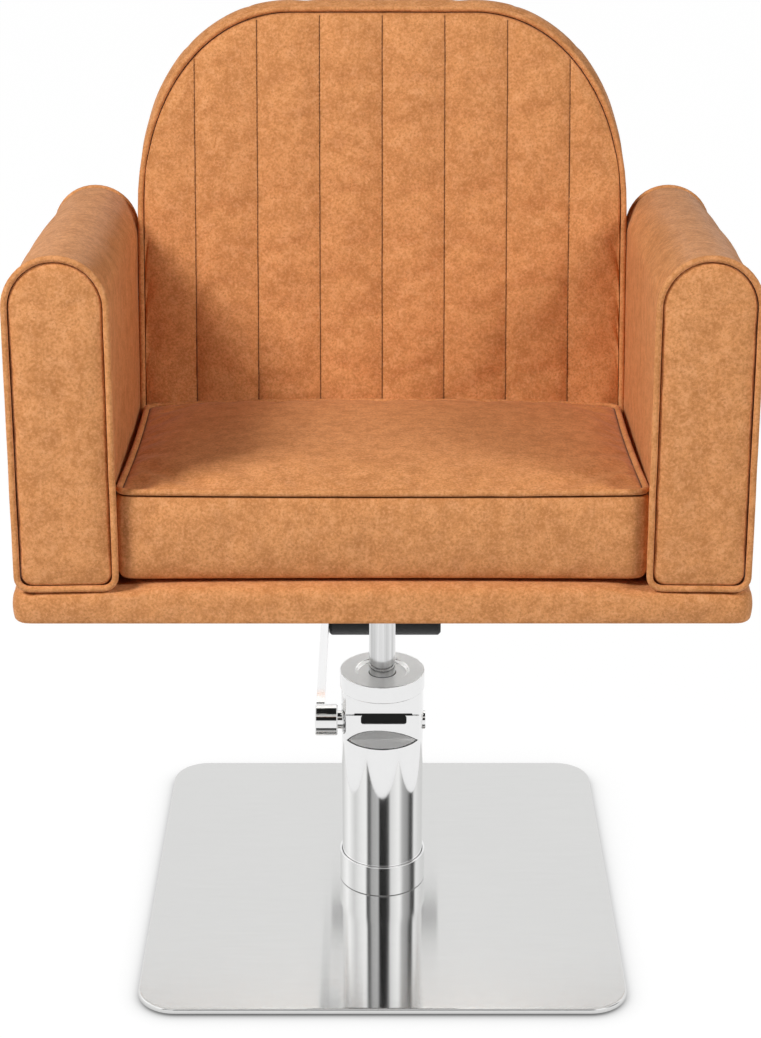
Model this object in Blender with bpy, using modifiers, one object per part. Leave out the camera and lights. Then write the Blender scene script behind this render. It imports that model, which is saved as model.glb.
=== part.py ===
"""Styling chair: a padded tan seat with round-topped arms on a hydraulic column and a square steel base.

Metres, +Z up. The origin is on the floor under the column, the chair faces -Y and the pedal is at +Y.
"""

import math

import bmesh
import bpy

# Clearances
FIT_GAP = 0.0003
RUN_GAP = 0.0003
STOP_GAP = 0.0020

# Base plate: rubber mat, steel core and folded stainless cover
BASE_WIDTH = 0.500
BASE_DEPTH = 0.522
BASE_CORNER_RADIUS = 0.040
COVER_SHEET = 0.0012
CORE_THICKNESS = 0.0042
MAT_THICKNESS = 0.0020
MAT_INSET = 0.012
BASE_BOLT_CIRCLE = 0.0330
BASE_BOLT_RADIUS = 0.0030
BASE_BOLT_HEAD_RADIUS = 0.0055
BASE_BOLT_HEAD = 0.0022
BASE_BOLT_THREAD = 0.0050

# Column and hydraulic pump
COLUMN_RADIUS = 0.0440
COLUMN_WALL = 0.0020
COLUMN_HEIGHT = 0.1787
FOOT_RING_WALL = 0.0025
FOOT_RING_HEIGHT = 0.0350
BORE_RADIUS = 0.0205
CYLINDER_WALL = 0.0040
FLANGE_THICKNESS = 0.0075
PISTON_HEIGHT = 0.0250
PISTON_POCKET = 0.0200
SEAL_HEIGHT = 0.0050
SEAL_DEPTH = 0.0027
ROD_RADIUS = 0.0140
LIFT_UP = 0.050
LIFT_DOWN = 0.072

# Pump head and its cap
HEAD_OVERSIZE = 0.0003
HEAD_HEIGHT = 0.0547
SPIGOT_DEPTH = 0.0150
FLAT_OFFSET = 0.0210
FRONT_WALL = 0.0045
CAVITY_WALL = 0.0058
CAVITY_DROP = 0.0195
CAVITY_RISE = 0.0142
WINDOW_CENTRE = 0.0015
WINDOW_WIDTH = 0.0490
WINDOW_RISE = 0.0187
WINDOW_HEIGHT = 0.0106
WINDOW_CORNER = 0.0030
SHIELD_THICKNESS = 0.0030
SLIT_HEIGHT = 0.0016
SLIT_DEPTH = 0.0015
CAP_OVERHANG = 0.0012
CAP_HEIGHT = 0.0192
CAP_EDGE = 0.0012
DISH_RADIUS = 0.0310
DISH_DEPTH = 0.0050
BUSH_WALL = 0.0050
WIPER_WALL = 0.0019
WIPER_DEPTH = 0.0030
WIPER_LIP = 0.0008

# Pedal, its stub shafts and the rocker that works the plunger
PIVOT_RISE = 0.0135
TRUNNION_RADIUS = 0.0100
TRUNNION_PIN_RADIUS = 0.0042
TRUNNION_END = 0.0022
HUB_RADIUS = 0.0170
HUB_LENGTH = 0.0243
HUB_STAND_OFF = 0.0039
HUB_END_WALL = 0.0022
HUB_EDGE = 0.0012
SET_SCREW_RADIUS = 0.0030
PEDAL_ARM_WIDTH = 0.0090
PEDAL_ARM_DEPTH = 0.0140
PEDAL_ARM_RISE = 0.0072
PEDAL_ARM_INSET = 0.0010
PEDAL_REACH = 0.2300
PEDAL_SPAN = 0.1310
PEDAL_CORE_RADIUS = 0.0050
PEDAL_RUBBER_RADIUS = 0.0125
PEDAL_EDGE = 0.0030
FORK_THICKNESS = 0.0120
FORK_INNER = 0.0160
FORK_ARM = 0.0065
FORK_BAR_FRONT = 0.0215
FORK_BAR_REAR = 0.0265
FORK_FRONT = 0.0070
FORK_NOSE_HALF = 0.0060
FORK_NOSE_BEYOND = 0.0030
PLUNGER_RADIUS = 0.0045
PLUNGER_FLANGE_RADIUS = 0.0072
PLUNGER_FLANGE = 0.0030
PLUNGER_FLANGE_DROP = 0.0093
PLUNGER_DIP = 0.0150
BARREL_WALL = 0.0027
SPRING_LENGTH = 0.0370
SPRING_WIRE_RADIUS = 0.0008
SPRING_TURNS = 5

# Swivel mount under the seat
SOCKET_RADIUS = 0.0250
SOCKET_FLARE = 0.0100
SOCKET_LENGTH = 0.0527
SOCKET_CLEARANCE = 0.0045
SOCKET_BORE = 0.0345
MOUNT_PLATE_SIDE = 0.180
MOUNT_PLATE_CORNER = 0.012
MOUNT_PLATE_THICKNESS = 0.0055
MOUNT_BOLT_SPACING = 0.140
BOLT_RADIUS = 0.0040
BOLT_HEAD_RADIUS = 0.0065
BOLT_HEAD = 0.0050
MOUNT_BOLT_THREAD = 0.0180

# Platform
SEAT_TILT = math.radians(5.0)
FRONT_REACH = 0.2073
PLATFORM_MARGIN = 0.0085
PLATFORM_PAST_ARMS = 0.0075
PLATFORM_HEIGHT = 0.0325
PLATFORM_CORNER = 0.016
PLATFORM_EDGE = 0.008
PLATFORM_BOTTOM_EDGE = 0.004
PLATFORM_PADDING = 0.015
PLATFORM_TOP_PADDING = 0.0075
LINING_THICKNESS = 0.0012
LINING_INSET = 0.012

# Seat cushion
SEAT_BOARD_THICKNESS = 0.0096
SEAT_BOARD_INSET = 0.022
SEAT_SET_BACK = 0.0150
SEAT_HALF_WIDTH = 0.2561
SEAT_SIDE_GAP = 0.0016
SEAT_REAR_EASE = 0.0070
SEAT_DEPTH = 0.3735
SEAT_CORNER = 0.016
SEAT_SIDE_HEIGHT = 0.0779
SEAT_CROWN = 0.0110
SEAT_DRAW_IN = 0.0025
SEAT_BOTTOM_EDGE = 0.0070

# Welt cord sewn into the seams
WELT_RADIUS = 0.0032

# Arms
ARM_SEAM_HALF_WIDTH = 0.0439
ARM_FULLNESS = 0.0011
ARM_SHOULDER = 0.2758
ARM_LENGTH = 0.4545
ARM_SPLAY = 0.0150
ARM_BOTTOM_CORNER = 0.012
ARM_PADDING = 0.018
ARM_CROWN = 0.0035
ARM_BOLT_INSET = 0.100
ARM_BOLT_THREAD = 0.0300

# Backrest
RECLINE = math.radians(10.0)
BACK_SIDE_GAP = 0.0006
BACK_SEAM_TOP = 0.4243
BACK_BELOW_SEAT = 0.1000
BACK_CORNER_WIDTH = 0.160
BACK_CORNER_HEIGHT = 0.203
BACK_STAND_OFF = 0.0055
BACK_PAD_DEPTH = 0.058
BACK_SIDE_BULGE = 0.0038
BACK_TOP_BULGE = 0.0090
BACK_PADDING = 0.035
BACK_FRAME_THICKNESS = 0.018
BACK_PANEL_THICKNESS = 0.014
BACK_PANEL_EDGE = 0.006
CHANNEL_WIDTH = 0.0685
CHANNEL_CROWN = 0.0060
BACK_CROWN = 0.0040
BRACKET_WIDTH = 0.040
BRACKET_THICKNESS = 0.0040
BRACKET_HEIGHT = 0.180
BRACKET_FOOT = 0.050
BRACKET_OFFSET = 0.120

# Mesh fineness
ROUND_STEPS = 40
INNER_STEPS = 24
SMALL_STEPS = 20
BOLT_STEPS = 10
CORNER_STEPS = 4
SIDE_STEPS = 5
ARM_ARC_STEPS = 12
BACK_ROWS = 9
CHANNEL_STEPS = 4
OUTER_CHANNEL_STEPS = 5
SPRING_POINTS = 8
CUT_MARGIN = 0.010

# Heights that follow from the stack on the floor
CORE_BOTTOM = MAT_THICKNESS + FIT_GAP
CORE_TOP = CORE_BOTTOM + CORE_THICKNESS
BASE_TOP = CORE_TOP + FIT_GAP + COVER_SHEET
COLUMN_BOTTOM = BASE_TOP + FIT_GAP
COLUMN_TOP = COLUMN_BOTTOM + COLUMN_HEIGHT
FLANGE_TOP = COLUMN_BOTTOM + FLANGE_THICKNESS
HEAD_BOTTOM = COLUMN_TOP + FIT_GAP
HEAD_TOP = HEAD_BOTTOM + HEAD_HEIGHT
SPIGOT_BOTTOM = HEAD_BOTTOM - SPIGOT_DEPTH
CYLINDER_TOP = SPIGOT_BOTTOM - FIT_GAP
PIVOT_Z = HEAD_BOTTOM + PIVOT_RISE
CAP_BOTTOM = HEAD_TOP + FIT_GAP
CAP_TOP = CAP_BOTTOM + CAP_HEIGHT
DISH_FLOOR = CAP_TOP - DISH_DEPTH
PISTON_TOP = CYLINDER_TOP - LIFT_UP - STOP_GAP
ROD_BOTTOM = PISTON_TOP - PISTON_POCKET + FIT_GAP
SOCKET_BOTTOM = CAP_TOP + LIFT_DOWN + SOCKET_CLEARANCE
SOCKET_BORE_TOP = SOCKET_BOTTOM + SOCKET_BORE
MOUNT_Z = SOCKET_BOTTOM + SOCKET_LENGTH

# Radii that follow from the column
COLUMN_INNER = COLUMN_RADIUS - COLUMN_WALL
SPIGOT_RADIUS = COLUMN_INNER - FIT_GAP
CYLINDER_RADIUS = BORE_RADIUS + CYLINDER_WALL
HEAD_RADIUS = COLUMN_RADIUS + HEAD_OVERSIZE
CAVITY_RADIUS = HEAD_RADIUS - CAVITY_WALL
CAP_RADIUS = HEAD_RADIUS + CAP_OVERHANG
ROD_HOLE = ROD_RADIUS + RUN_GAP
BUSH_RADIUS = ROD_HOLE + BUSH_WALL
PLUNGER_Y = (CYLINDER_RADIUS + COLUMN_INNER) / 2
FORK_NOSE_REACH = PLUNGER_Y + FORK_NOSE_BEYOND

# Levels and places on the chair, measured in its tilted frame from the column axis
FRONT = -FRONT_REACH
PLATFORM_DEPTH = ARM_LENGTH + PLATFORM_PAST_ARMS
PLATFORM_REAR = FRONT + PLATFORM_DEPTH
BOARD_BOTTOM = FIT_GAP
BOARD_TOP = PLATFORM_HEIGHT - PLATFORM_TOP_PADDING
LINING_TOP = -FIT_GAP
PLATE_TOP = LINING_TOP - LINING_THICKNESS - FIT_GAP
PLATE_BOTTOM = PLATE_TOP - MOUNT_PLATE_THICKNESS
ON_PLATFORM = PLATFORM_HEIGHT + FIT_GAP
SEAT_BOARD_TOP = ON_PLATFORM + SEAT_BOARD_THICKNESS
SEAT_BOTTOM = SEAT_BOARD_TOP + FIT_GAP
SEAT_LEDGE = SEAT_BOTTOM + SEAT_SIDE_HEIGHT
SEAT_TOP = SEAT_LEDGE + FIT_GAP + 2 * WELT_RADIUS
SEAT_FRONT = FRONT + SEAT_SET_BACK
SEAT_REAR = SEAT_FRONT + SEAT_DEPTH
BACK_Y = SEAT_REAR + BACK_STAND_OFF
ARM_HALF_WIDTH = ARM_SEAM_HALF_WIDTH + ARM_FULLNESS
ARM_CENTRE = SEAT_HALF_WIDTH + SEAT_SIDE_GAP + ARM_HALF_WIDTH
ARM_REAR_INNER = ARM_CENTRE + ARM_SPLAY - ARM_SEAM_HALF_WIDTH - 2 * WELT_RADIUS
SEAT_SPLAY = ARM_SPLAY - SEAT_REAR_EASE
PLATFORM_HALF_WIDTH = ARM_CENTRE + ARM_HALF_WIDTH + PLATFORM_MARGIN
BACK_SEAM_HALF_WIDTH = ARM_REAR_INNER - BACK_SIDE_GAP - BACK_SIDE_BULGE
ARM_ANGLE = math.atan2(ARM_SPLAY, ARM_LENGTH)
WELT_BED = WELT_RADIUS + FIT_GAP

FINISHES = {
    "tan_leather": ((0.58, 0.25, 0.10), 0.60, 0.0),
    "chrome": ((0.80, 0.80, 0.80), 0.08, 1.0),
    "stainless": ((0.62, 0.62, 0.62), 0.25, 1.0),
    "steel": ((0.35, 0.35, 0.36), 0.40, 1.0),
    "black_steel": ((0.02, 0.02, 0.02), 0.45, 0.3),
    "bronze": ((0.50, 0.32, 0.12), 0.35, 1.0),
    "rubber": ((0.01, 0.01, 0.01), 0.70, 0.0),
    "plywood": ((0.45, 0.30, 0.16), 0.70, 0.0),
    "black_board": ((0.02, 0.02, 0.02), 0.80, 0.0),
    "pale_cloth": ((0.700, 0.695, 0.680), 0.90, 0.0),
}


# Scene helpers


def clear_scene():
    for obj in list(bpy.data.objects):
        bpy.data.objects.remove(obj, do_unlink=True)


def new_collection(name):
    made = bpy.data.collections.new(name)
    bpy.context.scene.collection.children.link(made)
    return made


clear_scene()
PARTS = new_collection("styling_chair")
CUTTERS = new_collection("cutters")
CUTTERS.hide_render = True


def finish_for(node, finish):
    """A Principled material of the node's own, in one of the chair's finishes."""
    colour, roughness, metallic = FINISHES[finish]
    made = bpy.data.materials.new(f"{node}_{finish}")
    made.use_nodes = True
    shader = made.node_tree.nodes["Principled BSDF"]
    shader.inputs["Base Color"].default_value = (*colour, 1.0)
    shader.inputs["Roughness"].default_value = roughness
    shader.inputs["Metallic"].default_value = metallic
    return made


def empty(name, location=(0, 0, 0), rotation=(0, 0, 0), parent=None):
    made = bpy.data.objects.new(name, None)
    PARTS.objects.link(made)
    made.location = location
    made.rotation_euler = rotation
    made.parent = parent
    return made


def add(name, data, finish, parent=None):
    """Links a piece, or a cutter where no finish is given."""
    obj = bpy.data.objects.new(name, data)
    obj.parent = parent
    if finish:
        PARTS.objects.link(obj)
        data.materials.append(finish_for(name, finish))
    else:
        CUTTERS.objects.link(obj)
        obj.hide_render = True
        obj.display_type = "WIRE"
    return obj


def mesh_from(bm, name):
    bmesh.ops.recalc_face_normals(bm, faces=bm.faces)
    mesh = bpy.data.meshes.new(name)
    bm.to_mesh(mesh)
    bm.free()
    mesh.shade_smooth()
    mesh.set_sharp_from_angle(angle=math.radians(35))
    return mesh


def boolean(obj, other, operation="DIFFERENCE"):
    modifier = obj.modifiers.new(f"{operation.title()} {other.name}", "BOOLEAN")
    modifier.operation = operation
    modifier.object = other
    return obj


# Shape helpers


def box(name, low, high, finish=None, parent=None):
    bm = bmesh.new()
    bmesh.ops.create_cube(bm, size=1.0)
    for vert in bm.verts:
        for axis in range(3):
            span = high[axis] - low[axis]
            vert.co[axis] = (low[axis] + high[axis]) / 2 + vert.co[axis] * span
    return add(name, mesh_from(bm, name), finish, parent)


def turned(name, profile, finish=None, parent=None, steps=ROUND_STEPS, along_x=False):
    """A profile of (radius, height) points, from inner top down the outer side, turned about Z or X."""
    mesh = bpy.data.meshes.new(name)
    edges = [(i, i + 1) for i in range(len(profile) - 1)]
    if profile[0][0] > 0:
        edges.append((len(profile) - 1, 0))
    mesh.from_pydata([(radius, 0.0, height) for radius, height in profile], edges, [])
    obj = add(name, mesh, finish, parent)
    screw = obj.modifiers.new("Turn", "SCREW")
    screw.steps = steps
    screw.render_steps = steps
    screw.use_merge_vertices = True
    screw.merge_threshold = 0.00001
    if along_x:
        obj.rotation_euler = (0.0, math.radians(90), 0.0)
    return obj


def rod(name, radius, low, high, finish=None, parent=None, steps=SMALL_STEPS, along_x=False):
    profile = [(0.0, high), (radius, high), (radius, low), (0.0, low)]
    return turned(name, profile, finish, parent, steps, along_x)


def tube(name, inner, outer, low, high, finish=None, parent=None, steps=ROUND_STEPS):
    profile = [(inner, high), (outer, high), (outer, low), (inner, low)]
    return turned(name, profile, finish, parent, steps)


def bolt(name, shank, head, head_low, head_high, tip, finish, parent):
    """A bolt standing head down on its own axis."""
    profile = [(0.0, tip), (shank, tip), (shank, head_high)]
    profile += [(head, head_high), (head, head_low), (0.0, head_low)]
    return turned(name, profile, finish, parent, BOLT_STEPS)


def welded_mesh(obj, name):
    """The evaluated mesh of a curve, with its caps joined to its sides. The curve is removed."""
    graph = bpy.context.evaluated_depsgraph_get()
    mesh = bpy.data.meshes.new_from_object(obj.evaluated_get(graph))
    bpy.data.objects.remove(obj, do_unlink=True)
    bm = bmesh.new()
    bm.from_mesh(mesh)
    bpy.data.meshes.remove(mesh)
    bmesh.ops.remove_doubles(bm, verts=bm.verts, dist=0.000001)
    return mesh_from(bm, name)


def plate(name, outline, low, high, finish=None, parent=None, turn=(0, 0, 0)):
    """A flat outline in XY, filled and given its thickness from low to high, then turned on its object."""
    curve = bpy.data.curves.new(name, "CURVE")
    curve.dimensions = "2D"
    curve.fill_mode = "BOTH"
    curve.extrude = (high - low) / 2
    spline = curve.splines.new("POLY")
    spline.points.add(len(outline) - 1)
    for point, (x, y) in zip(spline.points, outline):
        point.co = (x, y, 0.0, 1.0)
    spline.use_cyclic_u = True
    drawn = bpy.data.objects.new(name + "_outline", curve)
    CUTTERS.objects.link(drawn)
    mesh = welded_mesh(drawn, name)
    for vert in mesh.vertices:
        vert.co.z += (low + high) / 2
    obj = add(name, mesh, finish, parent)
    obj.rotation_euler = turn
    return obj


def cord(name, points, radius, finish, parent=None, closed=False, resolution=1):
    """A round tube along a chain of points."""
    curve = bpy.data.curves.new(name, "CURVE")
    curve.dimensions = "3D"
    curve.bevel_depth = radius
    curve.bevel_resolution = resolution
    curve.use_fill_caps = True
    spline = curve.splines.new("POLY")
    spline.points.add(len(points) - 1)
    for point, place in zip(spline.points, points):
        point.co = (*place, 1.0)
    spline.use_cyclic_u = closed
    return add(name, curve, finish, parent)


def loft(name, rings, finish=None, parent=None):
    """A closed skin through rings of equal count, with flat ends."""
    bm = bmesh.new()
    rows = [[bm.verts.new(point) for point in ring] for ring in rings]
    for row, following in zip(rows, rows[1:]):
        for i in range(len(row)):
            j = (i + 1) % len(row)
            bm.faces.new((row[i], row[j], following[j], following[i]))
    bm.faces.new(reversed(rows[0]))
    bm.faces.new(rows[-1])
    return add(name, mesh_from(bm, name), finish, parent)


# Outlines


def rounded_polygon(corners, radius, steps=CORNER_STEPS, cuts=0):
    """A convex outline, anticlockwise, with round corners and extra points along its sides."""
    outline = []
    count = len(corners)
    for i, (x, y) in enumerate(corners):
        before = corners[i - 1]
        after = corners[(i + 1) % count]
        back = math.atan2(before[1] - y, before[0] - x)
        ahead = math.atan2(after[1] - y, after[0] - x)
        half = ((back - ahead) % (2 * math.pi)) / 2
        middle = ahead + half
        centre_x = x + radius / math.sin(half) * math.cos(middle)
        centre_y = y + radius / math.sin(half) * math.sin(middle)
        for k in range(steps + 1):
            angle = middle + math.pi + (k / steps - 0.5) * (math.pi - 2 * half)
            outline.append((centre_x + radius * math.cos(angle), centre_y + radius * math.sin(angle)))
        for k in range(1, cuts + 1):
            share = k / (cuts + 1)
            outline.append((x + (after[0] - x) * share, y + (after[1] - y) * share))
    return outline


def rectangle(low_x, low_y, high_x, high_y, radius, steps=CORNER_STEPS):
    corners = [(low_x, low_y), (high_x, low_y), (high_x, high_y), (low_x, high_y)]
    return rounded_polygon(corners, radius, steps)


def centred(width, depth, radius):
    return rectangle(-width / 2, -depth / 2, width / 2, depth / 2, radius, 2 * CORNER_STEPS)


def base_plan(inset):
    return centred(BASE_WIDTH - 2 * inset, BASE_DEPTH - 2 * inset, BASE_CORNER_RADIUS - inset)


def splayed(half_front, half_rear, front, rear, radius, cuts=0):
    """The plan of a seat piece: wider at the rear than at the front."""
    corners = [(-half_front, front), (half_front, front), (half_rear, rear), (-half_rear, rear)]
    return rounded_polygon(corners, radius, CORNER_STEPS, cuts)


def platform_plan(inset):
    half_rear = PLATFORM_HALF_WIDTH + ARM_SPLAY - inset
    radius = max(PLATFORM_CORNER - inset, PLATFORM_CORNER / 4)
    return splayed(PLATFORM_HALF_WIDTH - inset, half_rear, FRONT + inset, PLATFORM_REAR - inset, radius)


def seat_plan(inset, height, cuts=0):
    """The cushion's plan at one height. Its rear follows the leaning backrest."""
    rear = SEAT_REAR + (height - SEAT_TOP) * math.tan(RECLINE) - inset
    half_rear = SEAT_HALF_WIDTH + SEAT_SPLAY - inset
    radius = max(SEAT_CORNER - inset, SEAT_CORNER / 4)
    return splayed(SEAT_HALF_WIDTH - inset, half_rear, SEAT_FRONT + inset, rear, radius, cuts)


def arm_section(half_width, bottom):
    """The arm's round-topped outline in X and Z."""
    shoulder = ON_PLATFORM + ARM_SHOULDER
    radius = min(ARM_BOTTOM_CORNER, half_width * 0.6)
    outline = []
    for side, start in ((-1, math.pi), (1, 1.5 * math.pi)):
        for k in range(CORNER_STEPS + 1):
            angle = start + k / CORNER_STEPS * math.pi / 2
            x = side * (half_width - radius) + radius * math.cos(angle)
            outline.append((x, bottom + radius + radius * math.sin(angle)))
    for k in range(ARM_ARC_STEPS + 1):
        angle = math.pi * k / ARM_ARC_STEPS
        outline.append((half_width * math.cos(angle), shoulder + half_width * math.sin(angle)))
    return outline


def back_arch(x, offset):
    """Height of the backrest's outline above its base line at one distance from the middle."""
    beyond = abs(x) - (BACK_SEAM_HALF_WIDTH - BACK_CORNER_WIDTH)
    if beyond <= 0:
        return BACK_SEAM_TOP + offset
    share = min(beyond / (BACK_CORNER_WIDTH + offset), 1.0)
    spring_line = BACK_SEAM_TOP - BACK_CORNER_HEIGHT
    return spring_line + (BACK_CORNER_HEIGHT + offset) * math.sqrt(1.0 - share * share)


def back_columns():
    """Distances of the backrest's columns from its middle line, on the seams and between them."""
    inner_edge = 3 * CHANNEL_WIDTH
    columns = [k * CHANNEL_WIDTH / CHANNEL_STEPS for k in range(3 * CHANNEL_STEPS)]
    straight = BACK_SEAM_HALF_WIDTH - BACK_CORNER_WIDTH
    turn = math.acos(max(inner_edge - straight, 0.0) / BACK_CORNER_WIDTH)
    for k in range(OUTER_CHANNEL_STEPS + 1):
        angle = turn * (1.0 - k / OUTER_CHANNEL_STEPS)
        columns.append(straight + BACK_CORNER_WIDTH * math.cos(angle))
    return [-x for x in reversed(columns[1:])] + columns


def back_grid_point(x, share, offset):
    """A point of the backrest's outline sheet: column x, and a share of the column's height."""
    wide = x * (BACK_SEAM_HALF_WIDTH + offset) / BACK_SEAM_HALF_WIDTH
    bottom = -BACK_BELOW_SEAT
    return wide, bottom + share * (back_arch(wide, offset) - bottom)


def back_perimeter(offset):
    """The backrest's outline as a loop round the sheet, from the lower left corner."""
    columns = back_columns()
    shares = [j / BACK_ROWS for j in range(BACK_ROWS + 1)]
    loop = [(x, 0.0) for x in columns]
    loop += [(columns[-1], share) for share in shares[1:]]
    loop += [(x, 1.0) for x in reversed(columns[:-1])]
    loop += [(columns[0], share) for share in reversed(shares[1:-1])]
    return [back_grid_point(x, share, offset) for x, share in loop]


def back_crown(x, z):
    """How far the padded front stands out from the seams at one point of the backrest."""
    edge = min(back_arch(x, 0.0) - z, BACK_SEAM_HALF_WIDTH - abs(x))
    swell = min(max(edge / CHANNEL_WIDTH, 0.0), 1.0)
    full = 1.0 - (1.0 - swell) ** 2
    inner_edge = 3 * CHANNEL_WIDTH
    if abs(x) < inner_edge:
        share = (abs(x) / CHANNEL_WIDTH) % 1.0
    else:
        share = min((abs(x) - inner_edge) / (BACK_SEAM_HALF_WIDTH - inner_edge), 1.0)
    pillow = 4.0 * share * (1.0 - share)
    above_seat = min(max(z / CHANNEL_WIDTH, 0.0), 1.0)
    near_top = min(max((back_arch(x, 0.0) - z) / (CHANNEL_WIDTH / 2), 0.0), 1.0)
    return above_seat * (CHANNEL_CROWN * pillow * near_top + BACK_CROWN * full)


# Base


def build_base():
    cover = plate("base_cover", base_plan(0.0), CORE_BOTTOM, BASE_TOP, "stainless")
    under_sheet = BASE_TOP - COVER_SHEET
    hollow = plate("cover_hollow", base_plan(COVER_SHEET), CORE_BOTTOM - CUT_MARGIN, under_sheet)
    boolean(cover, hollow)
    core = plate("base_core_plate", base_plan(COVER_SHEET + FIT_GAP), CORE_BOTTOM, CORE_TOP, "steel")
    plate("floor_mat", base_plan(MAT_INSET), 0.0, MAT_THICKNESS, "rubber")

    profile = [(0.0, FLANGE_TOP), (BORE_RADIUS, FLANGE_TOP), (BORE_RADIUS, CYLINDER_TOP)]
    profile += [(CYLINDER_RADIUS, CYLINDER_TOP), (CYLINDER_RADIUS, FLANGE_TOP), (SPIGOT_RADIUS, FLANGE_TOP)]
    profile += [(SPIGOT_RADIUS, COLUMN_BOTTOM), (0.0, COLUMN_BOTTOM)]
    cylinder = turned("pump_cylinder", profile, "steel", None, INNER_STEPS)

    head_low = CORE_BOTTOM
    head_high = head_low + BASE_BOLT_HEAD
    tip = COLUMN_BOTTOM + BASE_BOLT_THREAD
    for k in range(4):
        angle = math.pi / 4 + k * math.pi / 2
        spot = empty(
            f"base_bolt_{k + 1}_place",
            (BASE_BOLT_CIRCLE * math.cos(angle), BASE_BOLT_CIRCLE * math.sin(angle), 0.0),
        )
        name = f"base_bolt_{k + 1}"
        bolt(name, BASE_BOLT_RADIUS, BASE_BOLT_HEAD_RADIUS, head_low, head_high, tip, "steel", spot)
        hole_radius = BASE_BOLT_RADIUS + FIT_GAP
        hole = rod(name + "_hole", hole_radius, -CUT_MARGIN, tip + FIT_GAP, None, spot, BOLT_STEPS)
        seat_radius = BASE_BOLT_HEAD_RADIUS + FIT_GAP
        seat = rod(name + "_seat", seat_radius, -CUT_MARGIN, head_high + FIT_GAP, None, spot, BOLT_STEPS)
        boolean(core, hole)
        boolean(core, seat)
        boolean(cover, hole)
        boolean(cylinder, hole)

    tube("column_sleeve", COLUMN_INNER, COLUMN_RADIUS, COLUMN_BOTTOM, COLUMN_TOP, "chrome")
    ring_inner = COLUMN_RADIUS + FIT_GAP
    ring_top = COLUMN_BOTTOM + FOOT_RING_HEIGHT
    tube("foot_ring", ring_inner, ring_inner + FOOT_RING_WALL, COLUMN_BOTTOM, ring_top, "chrome")


def build_head():
    profile = [(ROD_HOLE, HEAD_TOP), (HEAD_RADIUS, HEAD_TOP), (HEAD_RADIUS, HEAD_BOTTOM)]
    profile += [(SPIGOT_RADIUS, HEAD_BOTTOM), (SPIGOT_RADIUS, SPIGOT_BOTTOM), (ROD_HOLE, SPIGOT_BOTTOM)]
    head = turned("pump_head", profile, "chrome")
    reach = HEAD_RADIUS + CUT_MARGIN
    flat_top = HEAD_TOP + CUT_MARGIN
    boolean(head, box("front_flat", (-reach, -reach, HEAD_BOTTOM), (reach, -FLAT_OFFSET, flat_top)))

    front_face = FLAT_OFFSET - FRONT_WALL
    start = math.asin(front_face / CAVITY_RADIUS)
    sweep = math.pi + 2 * start
    arc = [-start + sweep * k / INNER_STEPS for k in range(INNER_STEPS + 1)]
    cavity = [(CAVITY_RADIUS * math.cos(a), CAVITY_RADIUS * math.sin(a)) for a in arc]
    boolean(head, plate("rocker_cavity", cavity, PIVOT_Z - CAVITY_DROP, PIVOT_Z + CAVITY_RISE))

    pivot = bpy.data.objects["pedal_pivot"]
    shaft_hole = TRUNNION_RADIUS + RUN_GAP
    boolean(head, rod("trunnion_hole", shaft_hole, -reach, reach, None, pivot, SMALL_STEPS, True))
    plunger_hole = rod("plunger_hole", PLUNGER_RADIUS + RUN_GAP, SPIGOT_BOTTOM - CUT_MARGIN, PIVOT_Z)
    plunger_hole.location.y = PLUNGER_Y
    boolean(head, plunger_hole)

    window_low = HEAD_BOTTOM + WINDOW_RISE
    window_high = window_low + WINDOW_HEIGHT
    window = window_outline(0.0, window_low, window_high)
    upright = (math.radians(90), 0.0, 0.0)
    boolean(head, plate("window", window, front_face - CUT_MARGIN, FLAT_OFFSET + CUT_MARGIN, turn=upright))
    slit_low = (-reach, -FLAT_OFFSET - CUT_MARGIN, window_high - SLIT_HEIGHT / 4)
    slit_high = (reach, -FLAT_OFFSET + SLIT_DEPTH, window_high + SLIT_HEIGHT)
    boolean(head, box("front_slit", slit_low, slit_high))
    shield = window_outline(FIT_GAP, window_low, window_high)
    shield_back = front_face + FIT_GAP
    plate("window_shield", shield, shield_back, shield_back + SHIELD_THICKNESS, "rubber", turn=upright)


def window_outline(inset, low, high):
    """The head's front window in X and Z."""
    left = WINDOW_CENTRE - WINDOW_WIDTH / 2 + inset
    right = WINDOW_CENTRE + WINDOW_WIDTH / 2 - inset
    return rectangle(left, low + inset, right, high - inset, WINDOW_CORNER - inset)


def build_cap():
    wiper_hole = ROD_HOLE + WIPER_WALL + FIT_GAP
    bush_hole = BUSH_RADIUS + FIT_GAP
    profile = [(bush_hole, DISH_FLOOR), (DISH_RADIUS, CAP_TOP), (CAP_RADIUS - CAP_EDGE, CAP_TOP)]
    profile += [(CAP_RADIUS, CAP_TOP - CAP_EDGE), (CAP_RADIUS, CAP_BOTTOM), (bush_hole, CAP_BOTTOM)]
    turned("head_cap", profile, "chrome")
    wiper_floor = DISH_FLOOR - WIPER_DEPTH
    profile = [(wiper_hole, DISH_FLOOR), (BUSH_RADIUS, DISH_FLOOR), (BUSH_RADIUS, CAP_BOTTOM)]
    profile += [(ROD_HOLE, CAP_BOTTOM), (ROD_HOLE, wiper_floor), (wiper_hole, wiper_floor)]
    turned("rod_guide_bush", profile, "bronze", None, INNER_STEPS)
    wiper_outer = ROD_HOLE + WIPER_WALL
    wiper_low = wiper_floor + FIT_GAP
    wiper_high = DISH_FLOOR + WIPER_LIP
    tube("rod_wiper_seal", ROD_HOLE, wiper_outer, wiper_low, wiper_high, "rubber", None, INNER_STEPS)


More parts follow.
